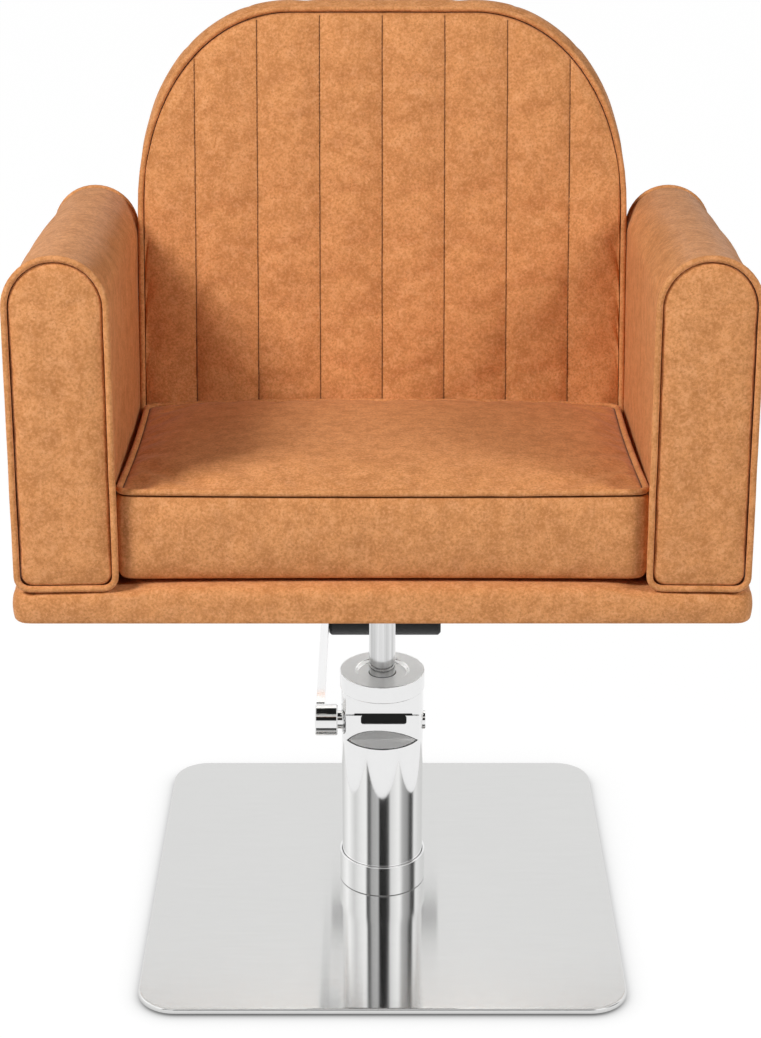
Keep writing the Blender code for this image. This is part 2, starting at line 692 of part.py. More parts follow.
def build_pump_parts():
    """The small plunger that the pedal works, its barrel and its return spring."""
    spot = empty("plunger_axis", (0.0, PLUNGER_Y, 0.0))
    plunger_top = PIVOT_Z - FORK_THICKNESS / 2 - FIT_GAP
    flange_high = SPIGOT_BOTTOM - PLUNGER_FLANGE_DROP
    flange_low = flange_high - PLUNGER_FLANGE
    spring_high = flange_low - FIT_GAP
    spring_low = spring_high - SPRING_LENGTH
    barrel_top = spring_low - FIT_GAP
    plunger_low = barrel_top - PLUNGER_DIP
    profile = [(0.0, plunger_top), (PLUNGER_RADIUS, plunger_top), (PLUNGER_RADIUS, flange_high)]
    profile += [(PLUNGER_FLANGE_RADIUS, flange_high), (PLUNGER_FLANGE_RADIUS, flange_low)]
    profile += [(PLUNGER_RADIUS, flange_low), (PLUNGER_RADIUS, plunger_low), (0.0, plunger_low)]
    turned("pump_plunger", profile, "steel", spot, SMALL_STEPS)
    bore = PLUNGER_RADIUS + RUN_GAP
    barrel_low = FLANGE_TOP + FIT_GAP
    tube("plunger_barrel", bore, bore + BARREL_WALL, barrel_low, barrel_top, "steel", spot, SMALL_STEPS)
    coil_radius = (PLUNGER_RADIUS + PLUNGER_FLANGE_RADIUS) / 2 + FIT_GAP
    climb = SPRING_LENGTH - 2 * SPRING_WIRE_RADIUS
    points = []
    for k in range(SPRING_TURNS * SPRING_POINTS + 1):
        angle = 2 * math.pi * k / SPRING_POINTS
        height = spring_low + SPRING_WIRE_RADIUS + climb * k / (SPRING_TURNS * SPRING_POINTS)
        points.append((coil_radius * math.cos(angle), coil_radius * math.sin(angle), height))
    cord("plunger_spring", points, SPRING_WIRE_RADIUS, "steel", spot)


# Pedal


def build_pedal():
    pivot = bpy.data.objects["pedal_pivot"]
    pin_end = FORK_INNER + FIT_GAP
    step = CAVITY_RADIUS - CAVITY_WALL
    hub_right = -(HEAD_RADIUS + HUB_STAND_OFF)
    hub_left = hub_right - HUB_LENGTH
    shaft_left = hub_left + HUB_END_WALL + FIT_GAP

    hub = [(0.0, hub_right), (HUB_RADIUS - HUB_EDGE, hub_right), (HUB_RADIUS, hub_right - HUB_EDGE)]
    hub += [(HUB_RADIUS, hub_left + HUB_EDGE), (HUB_RADIUS - HUB_EDGE, hub_left), (0.0, hub_left)]
    hub = turned("pedal_hub", hub, "chrome", pivot, ROUND_STEPS, True)
    bore_start = hub_left + HUB_END_WALL
    bore_end = hub_right + CUT_MARGIN
    shaft_bore = TRUNNION_RADIUS + FIT_GAP
    boolean(hub, rod("hub_bore", shaft_bore, bore_start, bore_end, None, pivot, SMALL_STEPS, True))

    left = [(0.0, -pin_end), (TRUNNION_PIN_RADIUS, -pin_end), (TRUNNION_PIN_RADIUS, -step)]
    left += [(TRUNNION_RADIUS, -step), (TRUNNION_RADIUS, shaft_left), (0.0, shaft_left)]
    turned("left_trunnion", left, "chrome", pivot, SMALL_STEPS, True)
    shaft_right = HEAD_RADIUS + TRUNNION_END
    right = [(0.0, shaft_right), (TRUNNION_RADIUS, shaft_right), (TRUNNION_RADIUS, step)]
    right += [(TRUNNION_PIN_RADIUS, step), (TRUNNION_PIN_RADIUS, pin_end), (0.0, pin_end)]
    turned("right_trunnion", right, "chrome", pivot, SMALL_STEPS, True)

    screw_x = (hub_left + hub_right) / 2
    screw_top = -TRUNNION_RADIUS - FIT_GAP
    screw_spot = empty("set_screw_place", (screw_x, 0.0, 0.0), parent=pivot)
    rod("hub_set_screw", SET_SCREW_RADIUS, -HUB_RADIUS, screw_top, "black_steel", screw_spot, BOLT_STEPS)
    screw_hole = SET_SCREW_RADIUS + FIT_GAP
    boolean(hub, rod("set_screw_hole", screw_hole, -HUB_RADIUS - CUT_MARGIN, 0.0, None, screw_spot))

    arm_left = hub_left + PEDAL_ARM_INSET
    arm_right = arm_left + PEDAL_ARM_WIDTH
    arm_low = PEDAL_ARM_RISE - PEDAL_ARM_DEPTH / 2
    arm_front = TRUNNION_RADIUS + 2 * FIT_GAP + HUB_EDGE
    arm_rear = PEDAL_REACH + PEDAL_ARM_DEPTH / 2
    notch_low = (arm_left - FIT_GAP, arm_front - FIT_GAP, arm_low - FIT_GAP)
    notch_high = (arm_right + FIT_GAP, HUB_RADIUS + CUT_MARGIN, arm_low + PEDAL_ARM_DEPTH + FIT_GAP)
    boolean(hub, box("hub_notch", notch_low, notch_high, None, pivot))
    side = rectangle(arm_front, arm_low, arm_rear, arm_low + PEDAL_ARM_DEPTH, PEDAL_EDGE)
    sideways = (math.radians(90), 0.0, math.radians(90))
    arm = plate("pedal_arm", side, arm_left, arm_right, "chrome", pivot, sideways)

    axis = empty("pedal_bar_axis", (0.0, PEDAL_REACH, PEDAL_ARM_RISE), parent=pivot)
    rubber_left = arm_right + FIT_GAP
    rubber_right = rubber_left + PEDAL_SPAN
    core_right = rubber_right - 2 * PEDAL_EDGE
    rod("pedal_bar_core", PEDAL_CORE_RADIUS, arm_left, core_right, "steel", axis, SMALL_STEPS, True)
    core_hole = PEDAL_CORE_RADIUS + FIT_GAP
    hole_left = arm_left - CUT_MARGIN
    boolean(arm, rod("core_hole", core_hole, hole_left, core_right + FIT_GAP, None, axis, SMALL_STEPS, True))
    outer = PEDAL_RUBBER_RADIUS
    end = outer - PEDAL_EDGE
    profile = [(0.0, rubber_right), (end, rubber_right), (outer, rubber_right - PEDAL_EDGE)]
    profile += [(outer, rubber_left + PEDAL_EDGE), (end, rubber_left), (core_hole, rubber_left)]
    profile += [(core_hole, core_right + FIT_GAP), (0.0, core_right + FIT_GAP)]
    turned("pedal_rubber", profile, "rubber", axis, SMALL_STEPS, True)
    build_fork(pivot)


def build_fork(pivot):
    """The flat U that straddles the rod: its arms turn with the shafts, its nose presses the plunger."""
    outer = FORK_INNER + FORK_ARM
    nose = FORK_NOSE_HALF
    right_half = [(FORK_INNER, FORK_BAR_FRONT), (FORK_INNER, -FORK_FRONT), (outer, -FORK_FRONT)]
    right_half += [(outer, FORK_BAR_REAR), (nose, FORK_BAR_REAR), (nose, FORK_NOSE_REACH)]
    outline = right_half + [(-x, y) for x, y in reversed(right_half)]
    fork = plate("rocker_fork", outline, -FORK_THICKNESS / 2, FORK_THICKNESS / 2, "steel", pivot)
    pin_hole = TRUNNION_PIN_RADIUS + FIT_GAP
    boolean(fork, rod("pin_hole", pin_hole, -2 * outer, 2 * outer, None, pivot, SMALL_STEPS, True))


# Piston and swivel mount


def build_lift():
    piston_low = PISTON_TOP - PISTON_HEIGHT
    outer = BORE_RADIUS - RUN_GAP
    groove = outer - SEAL_DEPTH
    groove_low = PISTON_TOP - PISTON_HEIGHT / 2 - SEAL_HEIGHT / 2
    groove_high = groove_low + SEAL_HEIGHT
    pocket = PISTON_TOP - PISTON_POCKET
    profile = [(0.0, pocket), (ROD_HOLE, pocket), (ROD_HOLE, PISTON_TOP), (outer, PISTON_TOP)]
    profile += [(outer, groove_high), (groove, groove_high), (groove, groove_low), (outer, groove_low)]
    profile += [(outer, piston_low), (0.0, piston_low)]
    turned("piston", profile, "steel", None, INNER_STEPS)
    seal_low = groove_low + FIT_GAP
    seal_high = groove_high - FIT_GAP
    tube("piston_seal", groove + FIT_GAP, outer, seal_low, seal_high, "rubber", None, INNER_STEPS)

    rod("piston_rod", ROD_RADIUS, ROD_BOTTOM, SOCKET_BORE_TOP - FIT_GAP, "chrome", None, ROUND_STEPS)
    flare = SOCKET_RADIUS + SOCKET_FLARE
    high = MOUNT_Z + CUT_MARGIN
    neck = MOUNT_Z - SOCKET_FLARE + PLATE_BOTTOM
    bore = ROD_RADIUS + FIT_GAP
    profile = [(0.0, high), (flare, high), (flare, MOUNT_Z), (SOCKET_RADIUS, neck)]
    profile += [(SOCKET_RADIUS, SOCKET_BOTTOM), (bore, SOCKET_BOTTOM)]
    profile += [(bore, SOCKET_BORE_TOP), (0.0, SOCKET_BORE_TOP)]
    socket = turned("mount_socket", profile, "black_steel")
    tilt = bpy.data.objects["chair_tilt"]
    reach = flare + CUT_MARGIN
    above_low = (-reach, -reach, PLATE_BOTTOM - FIT_GAP)
    boolean(socket, box("above_socket", above_low, (reach, reach, 2 * reach), None, tilt))

    outline = centred(MOUNT_PLATE_SIDE, MOUNT_PLATE_SIDE, MOUNT_PLATE_CORNER)
    plate("mount_plate", outline, PLATE_BOTTOM, PLATE_TOP, "black_steel", tilt)


# Platform and seat


def build_platform():
    tilt = bpy.data.objects["chair_tilt"]
    low, high = PLATFORM_BOTTOM_EDGE, PLATFORM_EDGE
    levels = [(low, 0.0), (low / 4, low / 4), (0.0, low), (0.0, PLATFORM_HEIGHT - high)]
    levels += [(high / 4, PLATFORM_HEIGHT - high / 4), (high, PLATFORM_HEIGHT)]
    rings = [[(x, y, z) for x, y in platform_plan(inset)] for inset, z in levels]
    pad = loft("platform_pad", rings, "tan_leather", tilt)
    hollow_plan = platform_plan(PLATFORM_PADDING)
    boolean(pad, plate("board_hollow", hollow_plan, -CUT_MARGIN, BOARD_TOP + FIT_GAP, None, tilt))
    board_plan = platform_plan(PLATFORM_PADDING + FIT_GAP)
    board = plate("platform_board", board_plan, BOARD_BOTTOM, BOARD_TOP, "plywood", tilt)
    lining_low = LINING_TOP - LINING_THICKNESS
    lining_plan = platform_plan(LINING_INSET)
    lining = plate("underside_lining", lining_plan, lining_low, LINING_TOP, "pale_cloth", tilt)

    mount_plate = bpy.data.objects["mount_plate"]
    half = MOUNT_BOLT_SPACING / 2
    tip = BOARD_BOTTOM + MOUNT_BOLT_THREAD
    head_high = PLATE_BOTTOM - FIT_GAP
    for k, (x, y) in enumerate(((-half, -half), (half, -half), (half, half), (-half, half))):
        name = f"mount_bolt_{k + 1}"
        spot = empty(name + "_place", (x, y, 0.0), parent=tilt)
        bolt(name, BOLT_RADIUS, BOLT_HEAD_RADIUS, head_high - BOLT_HEAD, head_high, tip, "steel", spot)
        low = PLATE_BOTTOM - CUT_MARGIN
        hole = rod(name + "_hole", BOLT_RADIUS + FIT_GAP, low, tip + FIT_GAP, None, spot, BOLT_STEPS)
        for piece in (mount_plate, lining, board):
            boolean(piece, hole)

    seat_board_plan = seat_plan(SEAT_BOARD_INSET, ON_PLATFORM)
    plate("seat_board", seat_board_plan, ON_PLATFORM, SEAT_BOARD_TOP, "black_board", tilt)


def build_seat():
    tilt = bpy.data.objects["chair_tilt"]
    bed = 2 * WELT_RADIUS + FIT_GAP
    full = SEAT_BOTTOM + SEAT_SIDE_HEIGHT / 2
    edge = SEAT_BOTTOM_EDGE
    levels = [(edge, SEAT_BOTTOM), (edge / 4, SEAT_BOTTOM + edge / 3), (0.0, SEAT_BOTTOM + edge)]
    levels += [(-FIT_GAP, full), (0.0, SEAT_LEDGE), (bed, SEAT_LEDGE), (bed, SEAT_TOP - WELT_RADIUS)]
    rings = [seat_ring(inset, height) for inset, height in levels]
    rim = rings[-1]
    middle_y = (SEAT_FRONT + SEAT_REAR) / 2
    for share in (0.96, 0.88, 0.72, 0.5, 0.25):
        height = SEAT_TOP - WELT_RADIUS + (SEAT_CROWN + WELT_RADIUS) * (1.0 - share**2) ** 0.8
        rings.append([(x * share, middle_y + (y - middle_y) * share, height) for x, y, _ in rim])
    loft("seat_cushion", rings, "tan_leather", tilt)
    path = seat_ring(WELT_RADIUS, SEAT_LEDGE + WELT_BED)
    cord("seat_welt", path, WELT_RADIUS, "tan_leather", tilt, True)


def seat_ring(inset, height):
    """One level of the cushion, drawn in between its corners."""
    middle_y = (SEAT_FRONT + SEAT_REAR) / 2
    half_depth = (SEAT_REAR - SEAT_FRONT) / 2
    ring = []
    for x, y in seat_plan(inset, height, SIDE_STEPS):
        along = max(1.0 - ((y - middle_y) / half_depth) ** 2, 0.0)
        across = max(1.0 - (x / SEAT_HALF_WIDTH) ** 2, 0.0)
        drawn_x = x - math.copysign(SEAT_DRAW_IN * along, x)
        front_share = SEAT_DRAW_IN * across if y < middle_y else 0.0
        ring.append((drawn_x, y + front_share, height))
    return ring


# Arms


def build_arm(side, label):
    tilt = bpy.data.objects["chair_tilt"]
    turn = (0.0, 0.0, -side * ARM_ANGLE)
    spot = empty(f"{label}_arm_place", (side * ARM_CENTRE, FRONT, 0.0), turn, tilt)
    bed = 2 * WELT_RADIUS + FIT_GAP
    panel = ARM_SEAM_HALF_WIDTH - FIT_GAP
    stations = [(panel - ARM_BOTTOM_CORNER, 0.0), (panel - ARM_CROWN, ARM_CROWN / 3)]
    stations += [(panel, ARM_CROWN), (panel, bed), (ARM_HALF_WIDTH, bed)]
    stations += [(half, ARM_LENGTH - y) for half, y in reversed(stations)]
    rings = []
    for half, y in stations:
        bottom = ON_PLATFORM + bed + panel - half if half <= panel else ON_PLATFORM
        rings.append([(x, y, z) for x, z in arm_section(half, bottom)])
    pad = loft(f"{label}_arm_pad", rings, "tan_leather", spot)

    core = ARM_HALF_WIDTH - ARM_PADDING
    lengthways = (math.radians(90), 0.0, 0.0)
    low, high = -ARM_LENGTH + ARM_PADDING, -ARM_PADDING
    frame_outline = arm_section(core, ON_PLATFORM)
    frame = plate(f"{label}_arm_frame", frame_outline, low, high, "plywood", spot, lengthways)
    outline = arm_section(core + FIT_GAP, ON_PLATFORM - 2 * ARM_BOTTOM_CORNER)
    hollow_low, hollow_high = low - FIT_GAP, high + FIT_GAP
    boolean(pad, plate(f"{label}_arm_hollow", outline, hollow_low, hollow_high, None, spot, lengthways))

    board = bpy.data.objects["platform_board"]
    platform_pad = bpy.data.objects["platform_pad"]
    for place, y in (("front", ARM_BOLT_INSET), ("rear", ARM_LENGTH - ARM_BOLT_INSET)):
        name = f"{label}_arm_{place}_bolt"
        bolt_spot = empty(name + "_place", (0.0, y, 0.0), parent=spot)
        head_high = BOARD_BOTTOM + BOLT_HEAD
        tip = ON_PLATFORM + ARM_BOLT_THREAD
        bolt(name, BOLT_RADIUS, BOLT_HEAD_RADIUS, BOARD_BOTTOM, head_high, tip, "steel", bolt_spot)
        hole_radius = BOLT_RADIUS + FIT_GAP
        hole = rod(name + "_hole", hole_radius, -CUT_MARGIN, tip + FIT_GAP, None, bolt_spot, BOLT_STEPS)
        seat_radius = BOLT_HEAD_RADIUS + FIT_GAP
        seat_high = head_high + FIT_GAP
        seat = rod(name + "_seat", seat_radius, -CUT_MARGIN, seat_high, None, bolt_spot, BOLT_STEPS)
        boolean(board, hole)
        boolean(board, seat)
        boolean(platform_pad, hole)
        boolean(frame, hole)

    welt_half = ARM_SEAM_HALF_WIDTH + WELT_RADIUS
    welt_bottom = ON_PLATFORM + WELT_RADIUS
    for place, y in (("front", WELT_RADIUS), ("rear", ARM_LENGTH - WELT_RADIUS)):
        path = [(x, y, z) for x, z in arm_section(welt_half, welt_bottom)]
        cord(f"{label}_arm_{place}_welt", path, WELT_RADIUS, "tan_leather", spot, True)


# Backrest


def build_back():
    tilt = bpy.data.objects["chair_tilt"]
    spot = empty("backrest_place", (0.0, BACK_Y, SEAT_TOP), (-RECLINE, 0.0, 0.0), tilt)
    reach = PLATFORM_HALF_WIDTH + PLATFORM_DEPTH
    floor = box("platform_plane", (-reach, -reach, -reach), (reach, reach, ON_PLATFORM), None, tilt)
    pad = back_pad(spot)

    inner = [(x, z) for x, z in back_perimeter(-BACK_PADDING)]
    inner_tight = [(x, z) for x, z in back_perimeter(-BACK_PADDING - FIT_GAP)]
    upright = (math.radians(90), 0.0, 0.0)
    rear = -BACK_PAD_DEPTH
    front = rear + BACK_FRAME_THICKNESS
    hollow = plate("back_hollow", inner, rear - CUT_MARGIN, front + FIT_GAP, None, spot, upright)
    frame = plate("backrest_frame", inner_tight, rear, front, "plywood", spot, upright)
    boolean(pad, hollow)

    panel_front = BACK_PAD_DEPTH + FIT_GAP
    panel_rear = panel_front + BACK_PANEL_THICKNESS
    soft = BACK_PANEL_EDGE / 4
    levels = [(BACK_PANEL_EDGE, panel_front), (0.0, panel_front + soft)]
    levels += [(0.0, panel_rear - BACK_PANEL_EDGE), (soft, panel_rear - soft), (BACK_PANEL_EDGE, panel_rear)]
    rings = [[(x, y, z) for x, z in back_perimeter(-inset)] for inset, y in levels]
    panel = loft("backrest_rear_panel", rings, "tan_leather", spot)

    platform_pad = bpy.data.objects["platform_pad"]
    for side, label in ((-1, "left"), (1, "right")):
        x = side * BRACKET_OFFSET
        bracket(f"{label}_back_bracket", x, 0.0, "black_steel")
        slot = bracket(f"{label}_bracket_slot", x, FIT_GAP, None)
        for piece in (pad, frame, platform_pad):
            boolean(piece, slot)
    for piece in (pad, frame, panel):
        boolean(piece, floor)

    rise = (ON_PLATFORM - SEAT_TOP) / math.cos(RECLINE) + 2 * WELT_RADIUS
    cord("backrest_welt", back_arch_path(rise), WELT_RADIUS, "tan_leather", spot)


def back_arch_path(rise):
    """The welt's way round the backrest: up on the right, over the top and down on the left."""
    loop = back_perimeter(WELT_RADIUS)
    start = len(back_columns()) - 1
    arch = [(x, 0.0, z) for x, z in loop[start:] + loop[:1] if z > rise]
    side = arch[0][0]
    return [(side, 0.0, rise)] + arch + [(-side, 0.0, rise)]


def back_pad(spot):
    """The padded backrest: channelled front, a bed for the welt and a border that swells along the top."""
    columns = back_columns()
    bm = bmesh.new()
    grid = []
    for x in columns:
        row = []
        for j in range(BACK_ROWS + 1):
            wide, z = back_grid_point(x, j / BACK_ROWS, -FIT_GAP)
            row.append(bm.verts.new((wide, -back_crown(wide, z), z)))
        grid.append(row)
    for left, right in zip(grid, grid[1:]):
        for j in range(BACK_ROWS):
            bm.faces.new((left[j], right[j], right[j + 1], left[j + 1]))
    loop = [row[0] for row in grid] + grid[-1][1:]
    loop += [row[-1] for row in reversed(grid[:-1])] + grid[0][-2:0:-1]

    shelf = WELT_RADIUS - FIT_GAP
    levels = [(-FIT_GAP, WELT_BED, 0.0), (shelf, WELT_BED, 0.0)]
    for share, swell in ((0.25, 0.7), (0.5, 1.0), (0.75, 0.7)):
        levels.append((BACK_SIDE_BULGE, BACK_PAD_DEPTH * share, swell))
    levels += [(shelf, BACK_PAD_DEPTH * 0.95, 0.2), (-shelf, BACK_PAD_DEPTH, 0.0)]
    straight = BACK_SEAM_TOP - BACK_CORNER_HEIGHT
    previous = loop
    for offset, y, swell in levels:
        ring = []
        plain = back_perimeter(offset)
        swollen = back_perimeter(offset + BACK_TOP_BULGE * swell)
        for (x, z), (far_x, far_z) in zip(plain, swollen):
            rise = min(max((z - straight) / BACK_CORNER_HEIGHT, 0.0), 1.0)
            share = math.sin(rise * math.pi / 2)
            ring.append(bm.verts.new((x + (far_x - x) * share, y, z + (far_z - z) * share)))
        for i in range(len(ring)):
            j = (i + 1) % len(ring)
            bm.faces.new((previous[i], previous[j], ring[j], ring[i]))
        previous = ring
    bm.faces.new(previous)
    return add("backrest_pad", mesh_from(bm, "backrest_pad"), "tan_leather", spot)


def bracket(name, x, grow, finish):
    """An L of flat bar: its foot lies on the platform board and its leg leans with the backrest frame."""
    lean_x, lean_z = math.sin(RECLINE), math.cos(RECLINE)
    rear_face = BACK_PAD_DEPTH - FIT_GAP + (CUT_MARGIN if grow else 0.0)
    front_face = BACK_PAD_DEPTH - FIT_GAP - BRACKET_THICKNESS - grow
    foot_low = BOARD_TOP + FIT_GAP - grow
    foot_high = BOARD_TOP + FIT_GAP + BRACKET_THICKNESS + grow

    def on_back(up, depth):
        return BACK_Y + up * lean_x + depth * lean_z, SEAT_TOP + up * lean_z - depth * lean_x

    def up_at(height, depth):
        return (height - SEAT_TOP + depth * lean_x) / lean_z

    heel = on_back(up_at(foot_low, rear_face), rear_face)
    crook = on_back(up_at(foot_high, front_face), front_face)
    toe = crook[0] - BRACKET_FOOT - grow
    top = BRACKET_HEIGHT + grow
    outline = [(toe, foot_low), heel, on_back(top, rear_face)]
    outline += [on_back(top, front_face), crook, (toe, foot_high)]
    half = BRACKET_WIDTH / 2 + grow
    sideways = (math.radians(90), 0.0, math.radians(90))
    tilt = bpy.data.objects["chair_tilt"]
    return plate(name, outline, x - half, x + half, finish, tilt, sideways)


def main():
    empty("pedal_pivot", (0.0, 0.0, PIVOT_Z))
    swivel = empty("swivel_axis")
    empty("chair_tilt", (0.0, 0.0, MOUNT_Z), (-SEAT_TILT, 0.0, 0.0), swivel)
    build_base()
    build_head()
    build_cap()
    build_pump_parts()
    build_pedal()
    build_lift()
    build_platform()
    build_seat()
    build_arm(-1, "left")
    build_arm(1, "right")
    build_back()


main()
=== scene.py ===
"""Dresses the styling chair: tan upholstery, piping, stitching, chrome, brushed base and a white studio."""

import functools
import math

import bmesh
import bpy
import numpy as np
from bpy.props import FloatProperty, FloatVectorProperty, PointerProperty
from bpy.types import Operator, Panel, PropertyGroup
from mathutils import Matrix, Vector, noise


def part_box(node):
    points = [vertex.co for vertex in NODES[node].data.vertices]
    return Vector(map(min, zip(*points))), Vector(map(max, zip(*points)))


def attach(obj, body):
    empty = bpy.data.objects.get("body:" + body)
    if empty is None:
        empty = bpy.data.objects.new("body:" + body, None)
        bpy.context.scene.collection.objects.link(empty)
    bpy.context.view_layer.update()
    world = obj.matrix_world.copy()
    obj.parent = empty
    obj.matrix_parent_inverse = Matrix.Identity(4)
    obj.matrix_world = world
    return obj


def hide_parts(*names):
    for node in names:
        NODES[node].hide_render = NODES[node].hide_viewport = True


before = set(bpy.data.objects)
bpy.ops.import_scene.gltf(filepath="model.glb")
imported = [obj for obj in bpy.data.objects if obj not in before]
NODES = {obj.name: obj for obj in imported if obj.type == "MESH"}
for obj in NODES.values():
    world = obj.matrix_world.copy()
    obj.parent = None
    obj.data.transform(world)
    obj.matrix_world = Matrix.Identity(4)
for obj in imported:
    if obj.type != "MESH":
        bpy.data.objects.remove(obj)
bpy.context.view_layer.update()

bl_info = {
    "name": "Styling Chair",
    "version": (1, 0, 0),
    "blender": (4, 5, 0),
    "location": "View3D > Sidebar > Chair",
    "description": "Dresses the styling chair's frame with upholstery, metal finishes and a studio",
    "category": "Object",
}


def length(name, description, default):
    return FloatProperty(name=name, description=description, default=default, unit="LENGTH", precision=4)


def angle(name, description, degrees):
    return FloatProperty(name=name, description=description, default=math.radians(degrees), subtype="ANGLE")


def amount(name, description, default):
    return FloatProperty(name=name, description=description, default=default, min=0.0)


def colour(name, description, default):
    return FloatVectorProperty(
        name=name, description=description, default=default, subtype="COLOR", size=3, min=0.0, max=1.0
    )


class ChairSizes(PropertyGroup):
    """Sizes of the upholstered pieces, in the seat's tilted frame."""

    mount_height: length("Mount height", "Height of the seat's tilt axis on the column", 0.3907)
    seat_tilt: angle("Seat tilt", "Backward tilt of the whole seat", 5.0)
    recline: angle("Recline", "Lean of the backrest over the seat", 10.0)
    front: length("Front", "Front edge of the platform, ahead of the column", -0.2073)
    platform_half: length("Platform half width", "Half the platform's width at the front", 0.3562)
    platform_depth: length("Platform depth", "Front to rear of the platform", 0.4620)
    platform_height: length("Platform height", "Thickness of the padded platform", 0.0325)
    platform_crown: length("Platform crown", "Rise of the platform's padding between the arms", 0.0020)
    seat_half: length("Seat half width", "Half the cushion's width at the front", 0.2561)
    seat_half_rear: length("Seat rear half width", "Half the cushion's width at the rear", 0.2641)
    seat_front: length("Seat front", "Front face of the cushion", -0.1923)
    seat_rear: length("Seat rear", "Rear edge of the cushion", 0.1812)
    seat_bottom: length("Seat bottom", "Underside of the cushion", 0.0395)
    seat_ledge: length("Seat seam", "Height of the seam under the cushion's piping", 0.1206)
    seat_crown: length("Seat crown", "Rise of the cushion's top over its piping", 0.0100)
    piping: length("Piping radius", "Radius of the piping cord", 0.0032)
    arm_centre: length("Arm centre", "Middle of an arm's front from the chair's middle", 0.3027)
    arm_seam: length("Arm seam half width", "Half the width of an arm's front panel at its seam", 0.0439)
    arm_half: length("Arm half width", "Half the width of an arm", 0.0450)
    arm_shoulder: length("Arm shoulder", "Height of the arm's round top's centre", 0.3086)
    arm_length: length("Arm length", "Front to rear of an arm", 0.4545)
    arm_splay: length("Arm splay", "How far an arm's rear stands outwards", 0.0150)
    arm_swell: length("Arm swell", "Fullness of an arm's outer side", 0.0040)
    back_place: length("Backrest place", "Front of the backrest at the seat's height", 0.1867)
    back_half: length("Backrest half width", "Half the width of the backrest at its seam", 0.2630)
    back_top: length("Backrest height", "Backrest seam above the seat", 0.4208)
    back_low: length("Backrest foot", "How far the backrest goes down behind the cushion", 0.0900)
    back_corner_width: length("Backrest corner width", "Width of the backrest's round corner", 0.1646)
    back_corner_height: length("Backrest corner height", "Height of the backrest's round corner", 0.2138)
    back_depth: length("Backrest depth", "Thickness of the backrest's padding", 0.0580)
    back_top_bulge: length("Backrest top bulge", "Swell of the backrest's border along its top", 0.0158)
    back_side_bulge: length("Backrest side bulge", "Swell of the backrest's border at its sides", 0.0038)
    channel: length("Channel width", "Distance between the backrest's sewn seams", 0.0685)
    channel_crown: length("Channel crown", "Rise of a channel between its seams", 0.0042)
    back_crown: length("Backrest crown", "Rise of the backrest's middle over its edge", 0.0040)
    stitch: length("Stitch", "Length of a stitch", 0.0034)
    stitch_gap: length("Stitch gap", "Gap between stitches", 0.0012)
    thread: length("Thread radius", "Radius of the sewing thread", 0.00045)


class ChairFinishes(PropertyGroup):
    """Colours and gloss of the chair's finishes."""

    tan: colour("Tan", "Main colour of the upholstery", (0.708, 0.312, 0.118))
    tan_pale: colour("Pale tan", "Rubbed, lighter parts of the upholstery", (0.830, 0.402, 0.186))
    tan_dark: colour("Dark tan", "Clouded, darker parts of the upholstery", (0.500, 0.202, 0.068))
    # Seam is a painted shade colour: the leather darkens towards it deep in its seams. The thread's darker twist
    # bands use it too.
    seam: colour("Seam", "Colour deep in the seams", (0.120, 0.042, 0.014))
    thread: colour("Thread", "Colour of the sewing thread", (0.160, 0.062, 0.022))
    chrome: colour("Chrome", "Colour of the chromed parts", (0.820, 0.820, 0.820))
    plate: colour("Base plate", "Colour of the brushed base plate", (0.705, 0.705, 0.698))
    black: colour("Black coat", "Colour of the black coated steel", (0.004, 0.004, 0.004))
    leather_gloss: amount("Leather roughness", "Roughness of the upholstery", 0.56)
    chrome_gloss: amount("Chrome roughness", "Roughness of the chromed parts", 0.045)
    plate_gloss: amount("Plate roughness", "Roughness of the brushed base plate", 0.11)


class ChairStudio(PropertyGroup):
    """The camera and the light of the studio."""

    eye: FloatVectorProperty(
        name="Camera place", description="Where the camera stands", default=(-0.0027, -2.1629, 1.3136), unit="LENGTH"
    )
    pitch: angle("Camera pitch", "Tilt of the camera from straight down", 67.895)
    yaw: angle("Camera yaw", "Turn of the camera about the vertical", -0.02)
    lens: amount("Lens", "Focal length in millimetres on a 36 mm sensor", 77.63)
    ambient: amount("Ambient", "Level of the studio's even light", 0.012)
    key: FloatProperty(name="Key", description="Power of the main softbox on the left", default=75.0, unit="POWER")
    fill: FloatProperty(name="Fill", description="Power of the softbox on the right", default=38.0, unit="POWER")
    front: FloatProperty(name="Front", description="Power of the low softbox in front", default=5.0, unit="POWER")
    under: FloatProperty(name="Under", description="Power of the lamp under the seat", default=2.4, unit="POWER")


# Frames of the chair


def chair_frame(sizes):
    """The seat's tilted frame, on the column's axis."""
    return Matrix.Translation((0.0, 0.0, sizes.mount_height)) @ Matrix.Rotation(-sizes.seat_tilt, 4, "X")


def arm_frame(sizes, side):
    """An arm's frame: its front face at the origin, its length along Y."""
    turn = -side * math.atan2(sizes.arm_splay, sizes.arm_length)
    start = Matrix.Translation((side * sizes.arm_centre, sizes.front, 0.0))
    return chair_frame(sizes) @ start @ Matrix.Rotation(turn, 4, "Z")


def back_frame(sizes):
    """The backrest's frame: its front face at the origin at the seat's height, Z up the backrest."""
    start = Matrix.Translation((0.0, sizes.back_place, seat_top(sizes)))
    return chair_frame(sizes) @ start @ Matrix.Rotation(-sizes.recline, 4, "X")


def seat_top(sizes):
    return sizes.seat_ledge + 2 * sizes.piping + 0.0003


def on_platform(sizes):
    return sizes.platform_height + 0.0003


# Node materials


def fill_inputs(tree, node, values):
    """Sets a node's inputs to plain values, colours or other nodes' outputs."""
    for key, value in values.items():
        socket = node.inputs[key]
        if isinstance(value, bpy.types.NodeSocket):
            tree.links.new(value, socket)
        elif socket.type == "RGBA":
            socket.default_value = (*value[:3], 1.0)
        else:
            socket.default_value = value
    return node


